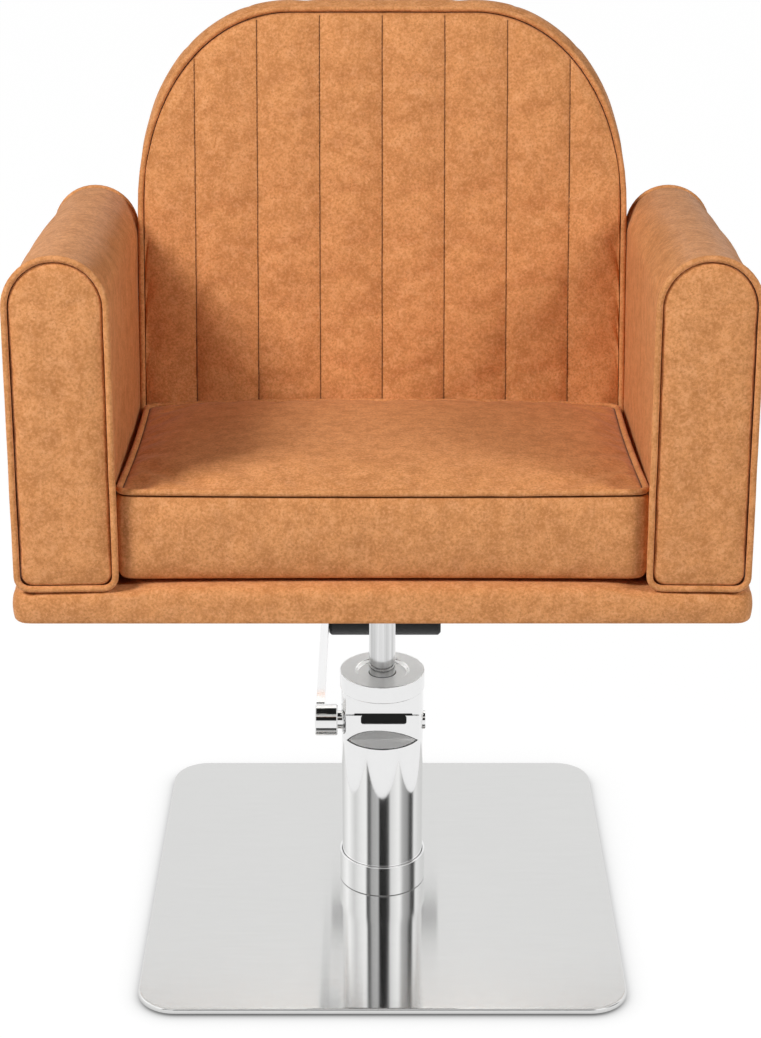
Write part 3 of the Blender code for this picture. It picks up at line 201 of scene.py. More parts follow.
def add_node(tree, kind, values=None, **settings):
    """A new node in a tree, with its settings and its inputs."""
    node = tree.nodes.new(kind)
    for key, value in settings.items():
        setattr(node, key, value)
    return fill_inputs(tree, node, values or {})


class Shade:
    """A material's node tree, built one node at a time."""

    def __init__(self, name):
        self.material = bpy.data.materials.new(name)
        self.material.use_nodes = True
        self.tree = self.material.node_tree
        self.shader = self.tree.nodes["Principled BSDF"]
        self.add = functools.partial(add_node, self.tree)
        self.place = self.add("ShaderNodeTexCoord").outputs["Object"]

    def shifted(self, offset, stretch=(1.0, 1.0, 1.0)):
        values = {"Vector": self.place, "Location": offset, "Scale": stretch}
        return self.add("ShaderNodeMapping", values).outputs["Vector"]

    def noise(self, vector, scale, detail=2.0, roughness=0.5):
        values = {"Vector": vector, "Scale": scale, "Detail": detail, "Roughness": roughness}
        return self.add("ShaderNodeTexNoise", values).outputs["Fac"]

    def spread(self, value, low, high, to_low=0.0, to_high=1.0):
        values = {"Value": value, "From Min": low, "From Max": high, "To Min": to_low, "To Max": to_high}
        return self.add("ShaderNodeMapRange", values).outputs["Result"]

    def mix(self, share, first, second):
        values = {0: share, 6: first, 7: second}
        return self.add("ShaderNodeMix", values, data_type="RGBA").outputs[2]

    def math(self, operation, first, second=0.0):
        return self.add("ShaderNodeMath", {0: first, 1: second}, operation=operation).outputs[0]

    def bump(self, height, strength, distance, normal=None):
        values = {"Height": height, "Strength": strength, "Distance": distance}
        if normal:
            values["Normal"] = normal
        return self.add("ShaderNodeBump", values).outputs["Normal"]

    def set(self, **values):
        """Sets the shader's own sockets, by their names with spaces as underscores."""
        fill_inputs(self.tree, self.shader, {key.replace("_", " "): value for key, value in values.items()})
        return self.material


# Scale, detail and roughness of the noises in the leather.
LEATHER_NOISES = {
    "clouds": (46.0, 5.0, 0.62),
    "patches": (105.0, 4.0, 0.60),
    "specks": (380.0, 3.0, 0.70),
    "fine": (1500.0, 2.0, 0.60),
}
# How much of a tone each noise lays over the leather: from low, from high, to low, to high.
LEATHER_TONES = (
    ("patches", (0.50, 0.72, 0.0, 0.55), "tan_pale"),
    ("patches", (0.30, 0.48, 0.60, 0.0), "tan_dark"),
    ("specks", (0.32, 0.50, 0.85, 0.0), "tan_dark"),
    ("specks", (0.50, 0.70, 0.0, 0.65), "tan_pale"),
)
CLOUD_REACH = (0.34, 0.58, 0.30, 1.0)
GRAIN_SCALE = 620.0
SLACK_SCALE = 34.0


def leather(name, finishes, offset, with_painted_seam_shade=False):
    """Tan nubuck with clouded patches, a fine pebble grain and, when asked, painted shade darkening its seams."""
    shade = Shade(name)
    place = shade.shifted(offset)
    noises = {kind: shade.noise(place, *settings) for kind, settings in LEATHER_NOISES.items()}
    clouds = noises["clouds"]
    base = shade.mix(shade.spread(clouds, *CLOUD_REACH), finishes.tan_dark, finishes.tan)
    for kind, reach, tone in LEATHER_TONES:
        base = shade.mix(shade.spread(noises[kind], *reach), base, getattr(finishes, tone))
    # Painted shade: the leather darkens towards the seam colour where the seam-shade attribute is high, deep in the
    # seams.
    if with_painted_seam_shade:
        depth = shade.add("ShaderNodeAttribute", attribute_name="crease").outputs["Fac"]
        base = shade.mix(shade.math("POWER", depth, 4.0), base, finishes.seam)
    pebbles = shade.add("ShaderNodeTexVoronoi", {"Vector": place, "Scale": GRAIN_SCALE}, feature="SMOOTH_F1")
    slack = shade.noise(shade.shifted(offset, (1.0, 0.45, 1.0)), SLACK_SCALE)
    normal = None
    for height, strength, distance in (
        (slack, 0.16, 0.004),
        (noises["specks"], 0.40, 0.0012),
        (pebbles.outputs["Distance"], 0.25, 0.0006),
        (noises["fine"], 0.18, 0.0003),
    ):
        normal = shade.bump(height, strength, distance, normal)
    gloss = shade.spread(clouds, 0.3, 0.7, finishes.leather_gloss + 0.07, finishes.leather_gloss - 0.05)
    shade.set(Base_Color=base, Roughness=gloss, Normal=normal)
    return shade.set(Specular_IOR_Level=0.07, Sheen_Weight=0.08, Sheen_Roughness=0.35)


def thread_finish(finishes):
    """Twisted dark brown sewing thread."""
    shade = Shade("sewing_thread")
    values = {"Vector": shade.place, "Scale": 900.0, "Distortion": 1.0}
    twist = shade.add("ShaderNodeTexWave", values, bands_direction="DIAGONAL").outputs["Fac"]
    base = shade.mix(twist, finishes.thread, finishes.seam)
    return shade.set(Base_Color=base, Roughness=0.6, Normal=shade.bump(twist, 0.4, 0.0002))


def chrome_finish(name, finishes, gloss):
    """Bright chrome with a trace of handling marks."""
    shade = Shade(name)
    marks = shade.noise(shade.shifted((3.1, 0.4, 1.7)), 90.0, 5.0, 0.65)
    worn = [c * 0.94 for c in finishes.chrome]
    base = shade.mix(shade.spread(marks, 0.35, 0.75, 0.0, 0.25), finishes.chrome, worn)
    roughness = shade.spread(marks, 0.3, 0.8, gloss, gloss * 1.7)
    return shade.set(Base_Color=base, Metallic=1.0, Roughness=roughness)


def brushed_finish(name, tint, gloss, stretch, grain, brush_map=None, contrast=0.10, metallic=1.0):
    """Satin steel with fine brush lines along one direction."""
    shade = Shade(name)
    lines = shade.noise(shade.shifted((0.3, 1.9, 0.7), stretch), grain, 3.0, 0.7)
    broad = shade.noise(shade.shifted((5.2, 2.1, 0.3)), 7.0, 3.0, 0.5)
    base = shade.mix(shade.spread(lines, 0.3, 0.7, 0.0, contrast), tint, [c * 0.6 for c in tint])
    base = shade.mix(shade.spread(broad, 0.35, 0.7, 0.0, 0.10), base, [min(c * 1.06, 1.0) for c in tint])
    roughness = shade.spread(lines, 0.25, 0.75, gloss * 0.85, gloss * 1.2)
    shade.set(Base_Color=base, Metallic=metallic, Roughness=roughness, Normal=shade.bump(lines, 0.008, 0.0004))
    if brush_map:
        across = shade.add("ShaderNodeTangent", direction_type="UV_MAP", uv_map=brush_map).outputs["Tangent"]
        shade.set(Anisotropic=1.0, Tangent=across)
    return shade.material


def coated_finish(name, tint, gloss, grain, depth):
    """Coated or moulded black: rubber, board and powder coat, told apart by grain and gloss."""
    shade = Shade(name)
    pits = shade.noise(shade.shifted((1.3, 0.2, 2.6)), grain, 3.0, 0.6)
    base = shade.mix(shade.spread(pits, 0.3, 0.7), tint, [c * 1.4 + 0.001 for c in tint])
    roughness = shade.spread(pits, 0.3, 0.7, gloss * 0.9, min(gloss * 1.1, 1.0))
    normal = shade.bump(pits, 0.3, depth)
    return shade.set(Base_Color=base, Roughness=roughness, Normal=normal, Specular_IOR_Level=0.2)


def cloth_finish():
    """Thin pale spun cloth under the platform."""
    shade = Shade("lining_cloth")
    weave = shade.add("ShaderNodeTexVoronoi", {"Vector": shade.place, "Scale": 900.0}).outputs["Distance"]
    base = shade.mix(shade.spread(weave, 0.1, 0.7), (0.78, 0.775, 0.76), (0.64, 0.635, 0.62))
    return shade.set(Base_Color=base, Roughness=0.9, Normal=shade.bump(weave, 0.5, 0.0005))


def plywood_finish():
    """Plywood with long grain and thin plies."""
    shade = Shade("plywood")
    figure = shade.noise(shade.shifted((0.0, 0.0, 0.0), (1.0, 8.0, 30.0)), 9.0, 4.0, 0.6)
    base = shade.mix(figure, (0.50, 0.33, 0.17), (0.34, 0.20, 0.09))
    return shade.set(Base_Color=base, Roughness=0.65, Normal=shade.bump(figure, 0.2, 0.0005))


# Mesh helpers


def mesh_object(name, points, faces, material, sharp=None):
    """A smooth-shaded object from points and faces, with its normals made consistent."""
    bm = bmesh.new()
    verts = [bm.verts.new(point) for point in points]
    for face in faces:
        bm.faces.new([verts[index] for index in face])
    bmesh.ops.recalc_face_normals(bm, faces=bm.faces)
    mesh = bpy.data.meshes.new(name)
    bm.to_mesh(mesh)
    bm.free()
    mesh.shade_smooth()
    if sharp is not None:
        mesh.set_sharp_from_angle(angle=math.radians(sharp))
    mesh.materials.append(material)
    obj = bpy.data.objects.new(name, mesh)
    bpy.context.scene.collection.objects.link(obj)
    return obj


def strip_faces(first, second, closed=True):
    """Quads between two rows of vertex numbers."""
    count = len(first)
    faces = []
    for i in range(count if closed else count - 1):
        j = (i + 1) % count
        faces.append((first[i], first[j], second[j], second[i]))
    return faces


def grid_faces(numbers):
    rows, columns = numbers.shape
    faces = []
    for r in range(rows - 1):
        faces += strip_faces(list(numbers[r]), list(numbers[r + 1]), False)
    return faces


def rim(numbers):
    """The vertex numbers round the edge of a grid, in order."""
    low, high = list(numbers[0]), list(numbers[-1])
    right, left = list(numbers[1:-1, -1]), list(numbers[1:-1, 0])
    return low + right + high[::-1] + left[::-1]


def boxed_form(name, top, rings, bottom, material):
    """A cushion: a grid for its top, rings down its sides and a grid for its underside."""
    rows, columns = top.shape[:2]
    points = list(top.reshape(-1, 3))
    top_numbers = np.arange(rows * columns).reshape(rows, columns)
    faces = grid_faces(top_numbers)
    previous = rim(top_numbers)
    ring_numbers = []
    for ring in rings:
        current = list(range(len(points), len(points) + len(ring)))
        points += list(ring)
        faces += strip_faces(previous, current)
        ring_numbers.append(current)
        previous = current
    bottom_numbers = np.arange(rows * columns).reshape(rows, columns) + len(points)
    points += list(bottom.reshape(-1, 3))
    faces += strip_faces(previous, rim(bottom_numbers))
    faces += grid_faces(bottom_numbers)
    obj = mesh_object(name, points, faces, material)
    return obj, top_numbers, ring_numbers, bottom_numbers


def plan(u, v, half_front, half_rear, front, rear, radius):
    """A square of -1 to 1 laid onto a round-cornered plan that widens to the rear."""
    depth = (rear - front) / 2
    half = half_front + (half_rear - half_front) * (v + 1) / 2
    x = np.abs(u) * half - (half - radius)
    y = np.abs(v) * depth - (depth - radius)
    corner = (x > 0) & (y > 0)
    shrink = np.where(corner, np.maximum(x, y) / np.maximum(np.hypot(x, y), 1e-9), 1.0)
    middle = (front + rear) / 2
    return np.sign(u) * (x * shrink + half - radius), np.sign(v) * (y * shrink + depth - radius) + middle


# The cover of a padded piece as a cloth, its seams held.
COVER_CLOTH = {
    "quality": 6,
    "mass": 0.4,
    "tension_stiffness": 25.0,
    "compression_stiffness": 25.0,
    "shear_stiffness": 10.0,
    "bending_stiffness": 3.0,
    "vertex_group_mass": "held",
    "use_pressure": True,
    "uniform_pressure_force": 4.0,
}
COVER_FRAMES = 20


def stuffed(obj, held, most, spare):
    """Lets the cover swell over its padding with its seams held, each point within reach of its pattern."""
    count = len(obj.data.vertices)
    rest = np.empty(count * 3)
    obj.data.vertices.foreach_get("co", rest)
    rest = rest.reshape(-1, 3)
    seams = obj.vertex_groups.new(name="held")
    seams.add([int(number) for number in held], 1.0, "REPLACE")
    cover = obj.modifiers.new("Cover", "CLOTH")
    for key, value in COVER_CLOTH.items():
        setattr(cover.settings, key, value)
    cover.settings.shrink_min = -spare
    cover.settings.effector_weights.gravity = 0.0
    cover.collision_settings.use_collision = False
    cover.point_cache.frame_start = 1
    cover.point_cache.frame_end = COVER_FRAMES
    scene = bpy.context.scene
    for frame_number in range(1, COVER_FRAMES + 1):
        scene.frame_set(frame_number)
    swollen = obj.evaluated_get(bpy.context.evaluated_depsgraph_get())
    moved = np.empty(count * 3)
    swollen.data.vertices.foreach_get("co", moved)
    move = moved.reshape(-1, 3) - rest
    reach = np.maximum(np.linalg.norm(move, axis=1, keepdims=True), 1e-9)
    if not np.isfinite(reach).all():
        raise RuntimeError(f"{obj.name}: the cover didn't settle")
    settled = rest + move * (most * np.tanh(reach / most) / reach)
    obj.modifiers.remove(cover)
    obj.vertex_groups.remove(seams)
    obj.data.vertices.foreach_set("co", settled.reshape(-1))
    obj.data.update()
    scene.frame_set(1)


def smoothed(obj, levels):
    """A subdivided surface for a soft piece."""
    modifier = obj.modifiers.new("Smooth", "SUBSURF")
    modifier.levels = levels
    modifier.render_levels = levels
    return obj


def creased_edges(obj, numbers, weight=1.0):
    """Keeps the seams between the listed vertices sharp under subdivision."""
    on_seam = set(int(number) for number in numbers)
    values = [
        weight if edge.vertices[0] in on_seam and edge.vertices[1] in on_seam else 0.0 for edge in obj.data.edges
    ]
    layer = obj.data.attributes.new("crease_edge", "FLOAT", "EDGE")
    layer.data.foreach_set("value", values)


def paint_seam_shade(obj, values):
    """Painted seam shade: how deep in a seam each point lies, which darkens the leather's colour there."""
    layer = obj.data.attributes.new("crease", "FLOAT", "POINT")
    layer.data.foreach_set("value", np.asarray(values, dtype=float))


def settle(obj, place, body, slot, *nodes):
    """Sets a piece in its place, lets it ride its body and stand for its plain solids."""
    obj.matrix_world = place
    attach(obj, body)
    if nodes:
        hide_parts(*nodes)
    return obj


def wavering(points, size, pitch, seed):
    """Points with the small unevenness of hand work."""
    out = []
    for x, y, z in points:
        shift = noise.noise_vector(Vector((x / pitch + seed, y / pitch - seed, z / pitch)))
        out.append((x + shift.x * size, y + shift.y * size, z + shift.z * size))
    return out


def piping(name, points, radius, material, closed):
    """A covered cord along a seam."""
    curve = bpy.data.curves.new(name, "CURVE")
    curve.dimensions = "3D"
    curve.bevel_depth = radius
    curve.bevel_resolution = 4
    curve.use_fill_caps = True
    spline = curve.splines.new("POLY")
    spline.points.add(len(points) - 1)
    for point, position in zip(spline.points, wavering(points, radius * 0.09, 0.035, 4.0)):
        point.co = (*position, 1.0)
    spline.use_cyclic_u = closed
    spline.use_smooth = True
    curve.materials.append(material)
    obj = bpy.data.objects.new(name, curve)
    bpy.context.scene.collection.objects.link(obj)
    return obj


def eased(profile, radius, steps=3):
    """A closed profile with its corners rounded, save for those on the column's axis."""
    out = []
    count = len(profile)
    for index, corner in enumerate(profile):
        if corner[0] < 1e-7:
            out.append(corner)
            continue
        before, after = profile[index - 1], profile[(index + 1) % count]
        here = Vector(corner)
        back, ahead = Vector(before) - here, Vector(after) - here
        reach = min(radius, back.length * 0.45, ahead.length * 0.45)
        start, end = here + back.normalized() * reach, here + ahead.normalized() * reach
        for k in range(steps + 1):
            t = k / steps
            point = start * (1 - t) ** 2 + here * (2 * t * (1 - t)) + end * t**2
            out.append((point.x, point.y))
    return out


def flat_walls(obj):
    """Keeps the shading of large faces true beside their small rounded edges."""
    weighted = obj.modifiers.new("True walls", "WEIGHTED_NORMAL")
    weighted.keep_sharp = True
    return obj


def turned(name, profile, material, steps=128):
    """A closed profile of (radius, height) points turned about the column's axis."""
    points, faces = [], []
    rows = []
    for radius, height in profile:
        if radius < 1e-7:
            rows.append([len(points)] * steps)
            points.append((0.0, 0.0, height))
            continue
        rows.append(list(range(len(points), len(points) + steps)))
        for k in range(steps):
            turn = 2 * math.pi * k / steps
            points.append((radius * math.cos(turn), radius * math.sin(turn), height))
    looped = profile[0][0] > 1e-7
    for first, second in zip(rows, rows[1:] + rows[:1] if looped else rows[1:]):
        for face in strip_faces(first, second):
            corners = list(dict.fromkeys(face))
            if len(corners) > 2:
                faces.append(corners)
    return flat_walls(mesh_object(name, points, faces, material, 50))


def dressed(node, material, edge, body, slot, upper=None):
    """A solid's own shape with welded faces and rounded edges. Its level faces may have a finish of their own."""
    bm = bmesh.new()
    bm.from_mesh(NODES[node].data)
    bmesh.ops.remove_doubles(bm, verts=bm.verts, dist=0.000005)
    bmesh.ops.dissolve_limit(bm, angle_limit=math.radians(0.5), verts=bm.verts, edges=bm.edges)
    mesh = bpy.data.meshes.new(node + "_finish")
    bm.to_mesh(mesh)
    bm.free()
    mesh.shade_smooth()
    mesh.set_sharp_from_angle(angle=math.radians(32))
    mesh.materials.append(material)
    if upper:
        mesh.materials.append(upper)
        for face in mesh.polygons:
            face.material_index = int(face.normal.z > 0.9)
    obj = bpy.data.objects.new(node + "_finish", mesh)
    bpy.context.scene.collection.objects.link(obj)
    bevel = obj.modifiers.new("Edges", "BEVEL")
    bevel.limit_method = "ANGLE"
    bevel.angle_limit = math.radians(40)
    bevel.width = edge
    bevel.segments = 2
    bevel.harden_normals = True
    return settle(obj, Matrix.Identity(4), body, slot, node)


def paint(names, material):
    """Gives solids that stay as they are their finish."""
    for name in names:
        slots = NODES[name].material_slots
        if not slots:
            NODES[name].data.materials.append(material)
        for entry in NODES[name].material_slots:
            entry.material = material


# Studio


class CHAIR_OT_studio(Operator):
    """White floor and surround, soft boxes and the camera"""

    bl_idname = "chair.studio"
    bl_label = "Studio"

    SENSOR = 36.0
    AIM = (0.0, 0.0, 0.62)
    BOX_SIZE = 0.8
    BOX_DISTANCE = 3.0
    UNDER_SIZE = 0.30
    UNDER_PLACE = (0.0, 0.14, 0.03)
    WHITE = (1.0, 1.0, 1.0)
    # What metal shows round the chair: degrees from the camera's side, to the right, and the level there.
    GLOW = 1.6
    FLAGS = (
        (-150, 1.0), (-112, 1.55), (-98, 1.3), (-84, 1.05), (-66, 1.35), (-47, 1.5), (-42, 0.16), (-36, 0.16),
        (-29, 0.65), (-12, 0.75), (-7, 0.014), (9, 0.014), (17, 0.14), (24, 1.15), (48, 1.5), (60, 0.72),
        (77, 0.48), (86, 0.10), (95, 0.10), (104, 1.35), (125, 1.1), (150, 1.0),
    )
    # Rise, as its sine, where the flags begin to show and where they end.
    FLAGS_LOW = (0.28, 0.38)
    FLAGS_HIGH = ((0.80, 1.0), (0.93, 0.0))
    FLOOR_SIZE = 14.0
    FLOOR_GAP = 0.0004
    FLOOR_TINT = (0.90, 0.90, 0.90)
    FLOOR_GLOW = 1.025
    # Share of the floor's white for light that spreads and for what the camera and metal see.
    FLOOR_SHARES = (0.28, 0.97)
    # The painted contact shadow in the floor's glow: how far it reaches from the chair, and its darkest level.
    PAINTED_SHADOW_REACH = 0.070
    PAINTED_SHADOW_LEVEL = 0.05

    def execute(self, context):
        studio = context.scene.chair_studio
        context.scene.view_settings.view_transform = "Standard"
        self.camera(context, studio)
        self.surround(context, studio)
        self.floor(context)
        self.softbox("key_softbox", studio.key, -56.0, 42.0)
        self.softbox("front_softbox", studio.front, -33.0, 22.0)
        self.softbox("fill_softbox", studio.fill, 55.0, 33.0)
        self.under_lamp(studio)
        return {"FINISHED"}

    def camera(self, context, studio):
        data = bpy.data.cameras.new("photo_camera")
        data.sensor_width = self.SENSOR
        data.lens = studio.lens
        camera = bpy.data.objects.new("photo_camera", data)
        camera.location = studio.eye
        camera.rotation_euler = (studio.pitch, 0.0, studio.yaw)
        context.scene.collection.objects.link(camera)
        context.scene.camera = camera

    def area_lamp(self, name, size, power):
        data = bpy.data.lights.new(name, "AREA")
        data.size = size
        data.energy = power
        lamp = bpy.data.objects.new(name, data)
        lamp.visible_glossy = False
        bpy.context.scene.collection.objects.link(lamp)
        return lamp

    def softbox(self, name, power, bearing, rise):
        """A square softbox aimed at the chair, its bearing measured from the camera's side, to the right."""
        bearing, rise = math.radians(bearing), math.radians(rise)
        level = Vector((math.sin(bearing), -math.cos(bearing), 0.0)) * math.cos(rise)
        away = level + Vector((0.0, 0.0, math.sin(rise)))
        lamp = self.area_lamp(name, self.BOX_SIZE, power)
        lamp.location = Vector(self.AIM) + away * self.BOX_DISTANCE
        lamp.rotation_euler = (-away).to_track_quat("-Z", "Y").to_euler()

    def under_lamp(self, studio):
        """A small lamp behind the column that lifts the shade under the seat."""
        lamp = self.area_lamp("under_lamp", self.UNDER_SIZE, studio.under)
        lamp.location = self.UNDER_PLACE
        lamp.rotation_euler = (math.pi, 0.0, 0.0)
        lamp.visible_camera = False

    def surround(self, context, studio):
        """A white surround with a few dark flags near the camera, which only metal shows."""
        world = bpy.data.worlds.new("studio")
        context.scene.world = world
        world.use_nodes = True
        world.node_tree.nodes.clear()
        node = functools.partial(add_node, world.node_tree)
        view = node("ShaderNodeSeparateXYZ", {0: node("ShaderNodeTexCoord").outputs["Generated"]})
        ahead = node("ShaderNodeMath", {0: view.outputs["Y"], 1: -1.0}, operation="MULTIPLY").outputs[0]
        bearing = node("ShaderNodeMath", {0: view.outputs["X"], 1: ahead}, operation="ARCTAN2").outputs[0]
        turn = node("ShaderNodeMapRange", {"Value": bearing, "From Min": -math.pi, "From Max": math.pi})
        flags = node("ShaderNodeValToRGB", {0: turn.outputs["Result"]})
        ramp = flags.color_ramp
        while len(ramp.elements) < len(self.FLAGS):
            ramp.elements.new(0.5)
        for element, (degrees, level) in zip(ramp.elements, self.FLAGS):
            element.position = (degrees + 180.0) / 360.0
            element.color = (level / self.GLOW, level / self.GLOW, level / self.GLOW, 1.0)
        height = node("ShaderNodeValToRGB", {0: view.outputs["Z"]})
        rise = height.color_ramp
        rise.elements[0].position, rise.elements[1].position = self.FLAGS_LOW
        for position, level in self.FLAGS_HIGH:
            element = rise.elements.new(position)
            element.color = (level, level, level, 1.0)
        plain_level = (1 / self.GLOW, 1 / self.GLOW, 1 / self.GLOW)
        layers = {0: height.outputs["Color"], 6: plain_level, 7: flags.outputs["Color"]}
        shown = node("ShaderNodeMix", layers, data_type="RGBA")
        plain = node("ShaderNodeBackground", {"Color": self.WHITE, "Strength": 1.0})
        mirrored = node("ShaderNodeBackground", {"Color": shown.outputs[2], "Strength": self.GLOW})
        even = node("ShaderNodeBackground", {"Color": self.WHITE, "Strength": studio.ambient})
        path = node("ShaderNodeLightPath").outputs
        rays = {0: path["Is Glossy Ray"], 1: path["Is Transmission Ray"]}
        through = node("ShaderNodeMath", rays, operation="MAXIMUM").outputs[0]
        lit = node("ShaderNodeMixShader", {0: through, 1: even.outputs[0], 2: mirrored.outputs[0]})
        seen = node("ShaderNodeMixShader", {0: path["Is Camera Ray"], 1: lit.outputs[0], 2: plain.outputs[0]})
        node("ShaderNodeOutputWorld", {"Surface": seen.outputs[0]})

    def floor(self, context):
        """A pale floor that shows white. Its matt share keeps the chair's real shadow, and its white glow carries a
        painted contact shadow near the chair.
        """
        bm = bmesh.new()
        bmesh.ops.create_grid(bm, x_segments=2, y_segments=2, size=self.FLOOR_SIZE)
        mesh = bpy.data.meshes.new("studio_floor")
        bm.to_mesh(mesh)
        bm.free()
        floor = bpy.data.objects.new("studio_floor", mesh)
        floor.location.z = -self.FLOOR_GAP
        context.scene.collection.objects.link(floor)
        material = bpy.data.materials.new("pale_floor")
        material.use_nodes = True
        material.node_tree.nodes.clear()
        node = functools.partial(add_node, material.node_tree)
        matt = node("ShaderNodeBsdfDiffuse", {"Color": self.FLOOR_TINT})
        # Painted shadow: the glow darkens where ambient occlusion finds the chair close by.
        painted_contact_shadow = node("ShaderNodeAmbientOcclusion", {"Distance": self.PAINTED_SHADOW_REACH})
        soft = node("ShaderNodeMapRange", {"Value": painted_contact_shadow.outputs["AO"], "To Min": self.PAINTED_SHADOW_LEVEL})
        white = node("ShaderNodeEmission", {"Color": soft.outputs["Result"], "Strength": self.FLOOR_GLOW})
        path = node("ShaderNodeLightPath").outputs
        shown = path["Is Camera Ray"]
        for ray in ("Is Glossy Ray", "Is Transmission Ray"):
            shown = node("ShaderNodeMath", {0: shown, 1: path[ray]}, operation="MAXIMUM").outputs[0]
        low, high = self.FLOOR_SHARES
        share = node("ShaderNodeMapRange", {"Value": shown, "To Min": low, "To Max": high})
        mix = node("ShaderNodeMixShader", {0: share.outputs["Result"], 1: matt.outputs[0], 2: white.outputs[0]})
        node("ShaderNodeOutputMaterial", {"Surface": mix.outputs[0]})
        mesh.materials.append(material)


# Upholstery


class CHAIR_OT_seat_cushion(Operator):
    """Boxed seat cushion: crowned top, drawn-in sides and piping round its top seam"""

    bl_idname = "chair.seat_cushion"
    bl_label = "Seat Cushion"

    COLUMNS = 65
    ROWS = 47
    CORNER = 0.016
    DRAWN_IN = 0.0025
    SEAM_INSET = 0.0060
    SEAM_DROP = 0.0032
    SIDE_BULGE = 0.0012
    SIDE_SHARES = (0.10, 0.2, 0.34, 0.5, 0.66, 0.8, 0.9)
    UNDER_INSET = 0.0075
    # How the padding lifts the seam at the ends of an edge, and what its middle adds.
    FRONT_RISE = (0.0042, -0.0022)
    REAR_RISE = (-0.0045, 0.0055)
    # How far the stuffing may push the cover, and the spare cloth in it.
    STUFFING = (0.0045, 0.012)

    def execute(self, context):
        sizes, finishes = context.scene.chair_sizes, context.scene.chair_finishes
        u, v = np.meshgrid(np.linspace(-1, 1, self.COLUMNS), np.linspace(-1, 1, self.ROWS))
        top = self.level(sizes, u, v, self.SEAM_INSET, seat_top(sizes) - self.SEAM_DROP, 1.0)
        crown = ((1 - np.abs(u) ** 2.8) * (1 - np.abs(v) ** 2.8)) ** 0.62
        top[..., 2] += (sizes.seat_crown + self.SEAM_DROP) * crown
        edge_u = np.array(rim(u))
        edge_v = np.array(rim(v))
        bulge_levels = [
            (0.0042, sizes.seat_ledge + 0.0002, 1.0), (0.0022, sizes.seat_ledge - 0.0006, 1.0),
            (0.0007, sizes.seat_ledge - 0.0026, 1.0),
        ]
        for share in self.SIDE_SHARES:
            height = sizes.seat_ledge + (sizes.seat_bottom - sizes.seat_ledge) * share
            bulge_levels.append((-self.SIDE_BULGE * math.sin(math.pi * share), height, 1.0 - share))
        bulge_levels += [(0.0012, sizes.seat_bottom + 0.0040, 0.0), (0.0036, sizes.seat_bottom + 0.0012, 0.0)]
        rings = [self.level(sizes, edge_u, edge_v, inset, height, share) for inset, height, share in bulge_levels]
        bottom = self.level(sizes, u, v, self.UNDER_INSET, sizes.seat_bottom, 0.0)
        leather_cover = leather("seat_leather", finishes, (0.4, 1.3, 0.2), True)
        obj, top_numbers, ring_numbers, bottom_numbers = boxed_form(
            "seat_cushion_cover", top, rings, bottom, leather_cover
        )
        seam = rim(top_numbers) + ring_numbers[0] + ring_numbers[1]
        held = seam + list(bottom_numbers.reshape(-1)) + ring_numbers[-1]
        # Painted shade: the points on the top seam and beside its piping get full seam shade in the leather's
        # colour.
        depth = np.zeros(len(obj.data.vertices))
        depth[seam] = 1.0
        paint_seam_shade(obj, depth)
        creased_edges(obj, ring_numbers[0])
        place = chair_frame(sizes)
        obj.matrix_world = place
        stuffed(obj, held, *self.STUFFING)
        smoothed(obj, 2)
        settle(obj, place, "seat", "tan_upholstery", "seat_cushion")

        t = np.linspace(0, 1, 300, endpoint=False)
        path = self.level(sizes, *self.round_square(t), sizes.piping, sizes.seat_ledge + sizes.piping + 0.0003, 1.0)
        cord_leather = leather("seat_piping_leather", finishes, (2.2, 0.1, 0.9))
        cord = piping("seat_piping", [tuple(p) for p in path], sizes.piping, cord_leather, True)
        settle(cord, place, "seat", "tan_welt", "seat_welt")
        return {"FINISHED"}

    def round_square(self, t):
        """The rim of the square of -1 to 1, from its front left corner."""
        side = np.floor(t * 4)
        along = (t * 4 - side) * 2 - 1
        u = np.choose(side.astype(int), [along, np.ones_like(t), -along, -np.ones_like(t)])
        v = np.choose(side.astype(int), [-np.ones_like(t), along, np.ones_like(t), -along])
        return u, v

    def level(self, sizes, u, v, inset, height, sway):
        """Points of one level of the cushion. Its rear follows the leaning backrest, its seam the padding."""
        lean = math.tan(sizes.recline) * (height - seat_top(sizes))
        front, rear = sizes.seat_front + inset, sizes.seat_rear + lean - inset
        radius = max(self.CORNER - inset, 0.006)
        x, y = plan(u, v, sizes.seat_half - inset, sizes.seat_half_rear - inset, front, rear, radius)
        x = x - np.sign(u) * self.DRAWN_IN * np.maximum(1 - v**2, 0.0) * np.abs(u)
        y = y + self.DRAWN_IN * np.maximum(1 - u**2, 0.0) * np.maximum(-v, 0.0)
        middle = np.maximum(1 - np.abs(u) ** 2.5, 0.0)
        front_seam = self.FRONT_RISE[0] + self.FRONT_RISE[1] * middle
        rear_seam = self.REAR_RISE[0] + self.REAR_RISE[1] * middle
        rise = front_seam + (rear_seam - front_seam) * (v + 1) / 2
        return np.stack([x, y, height + sway * rise], axis=-1)


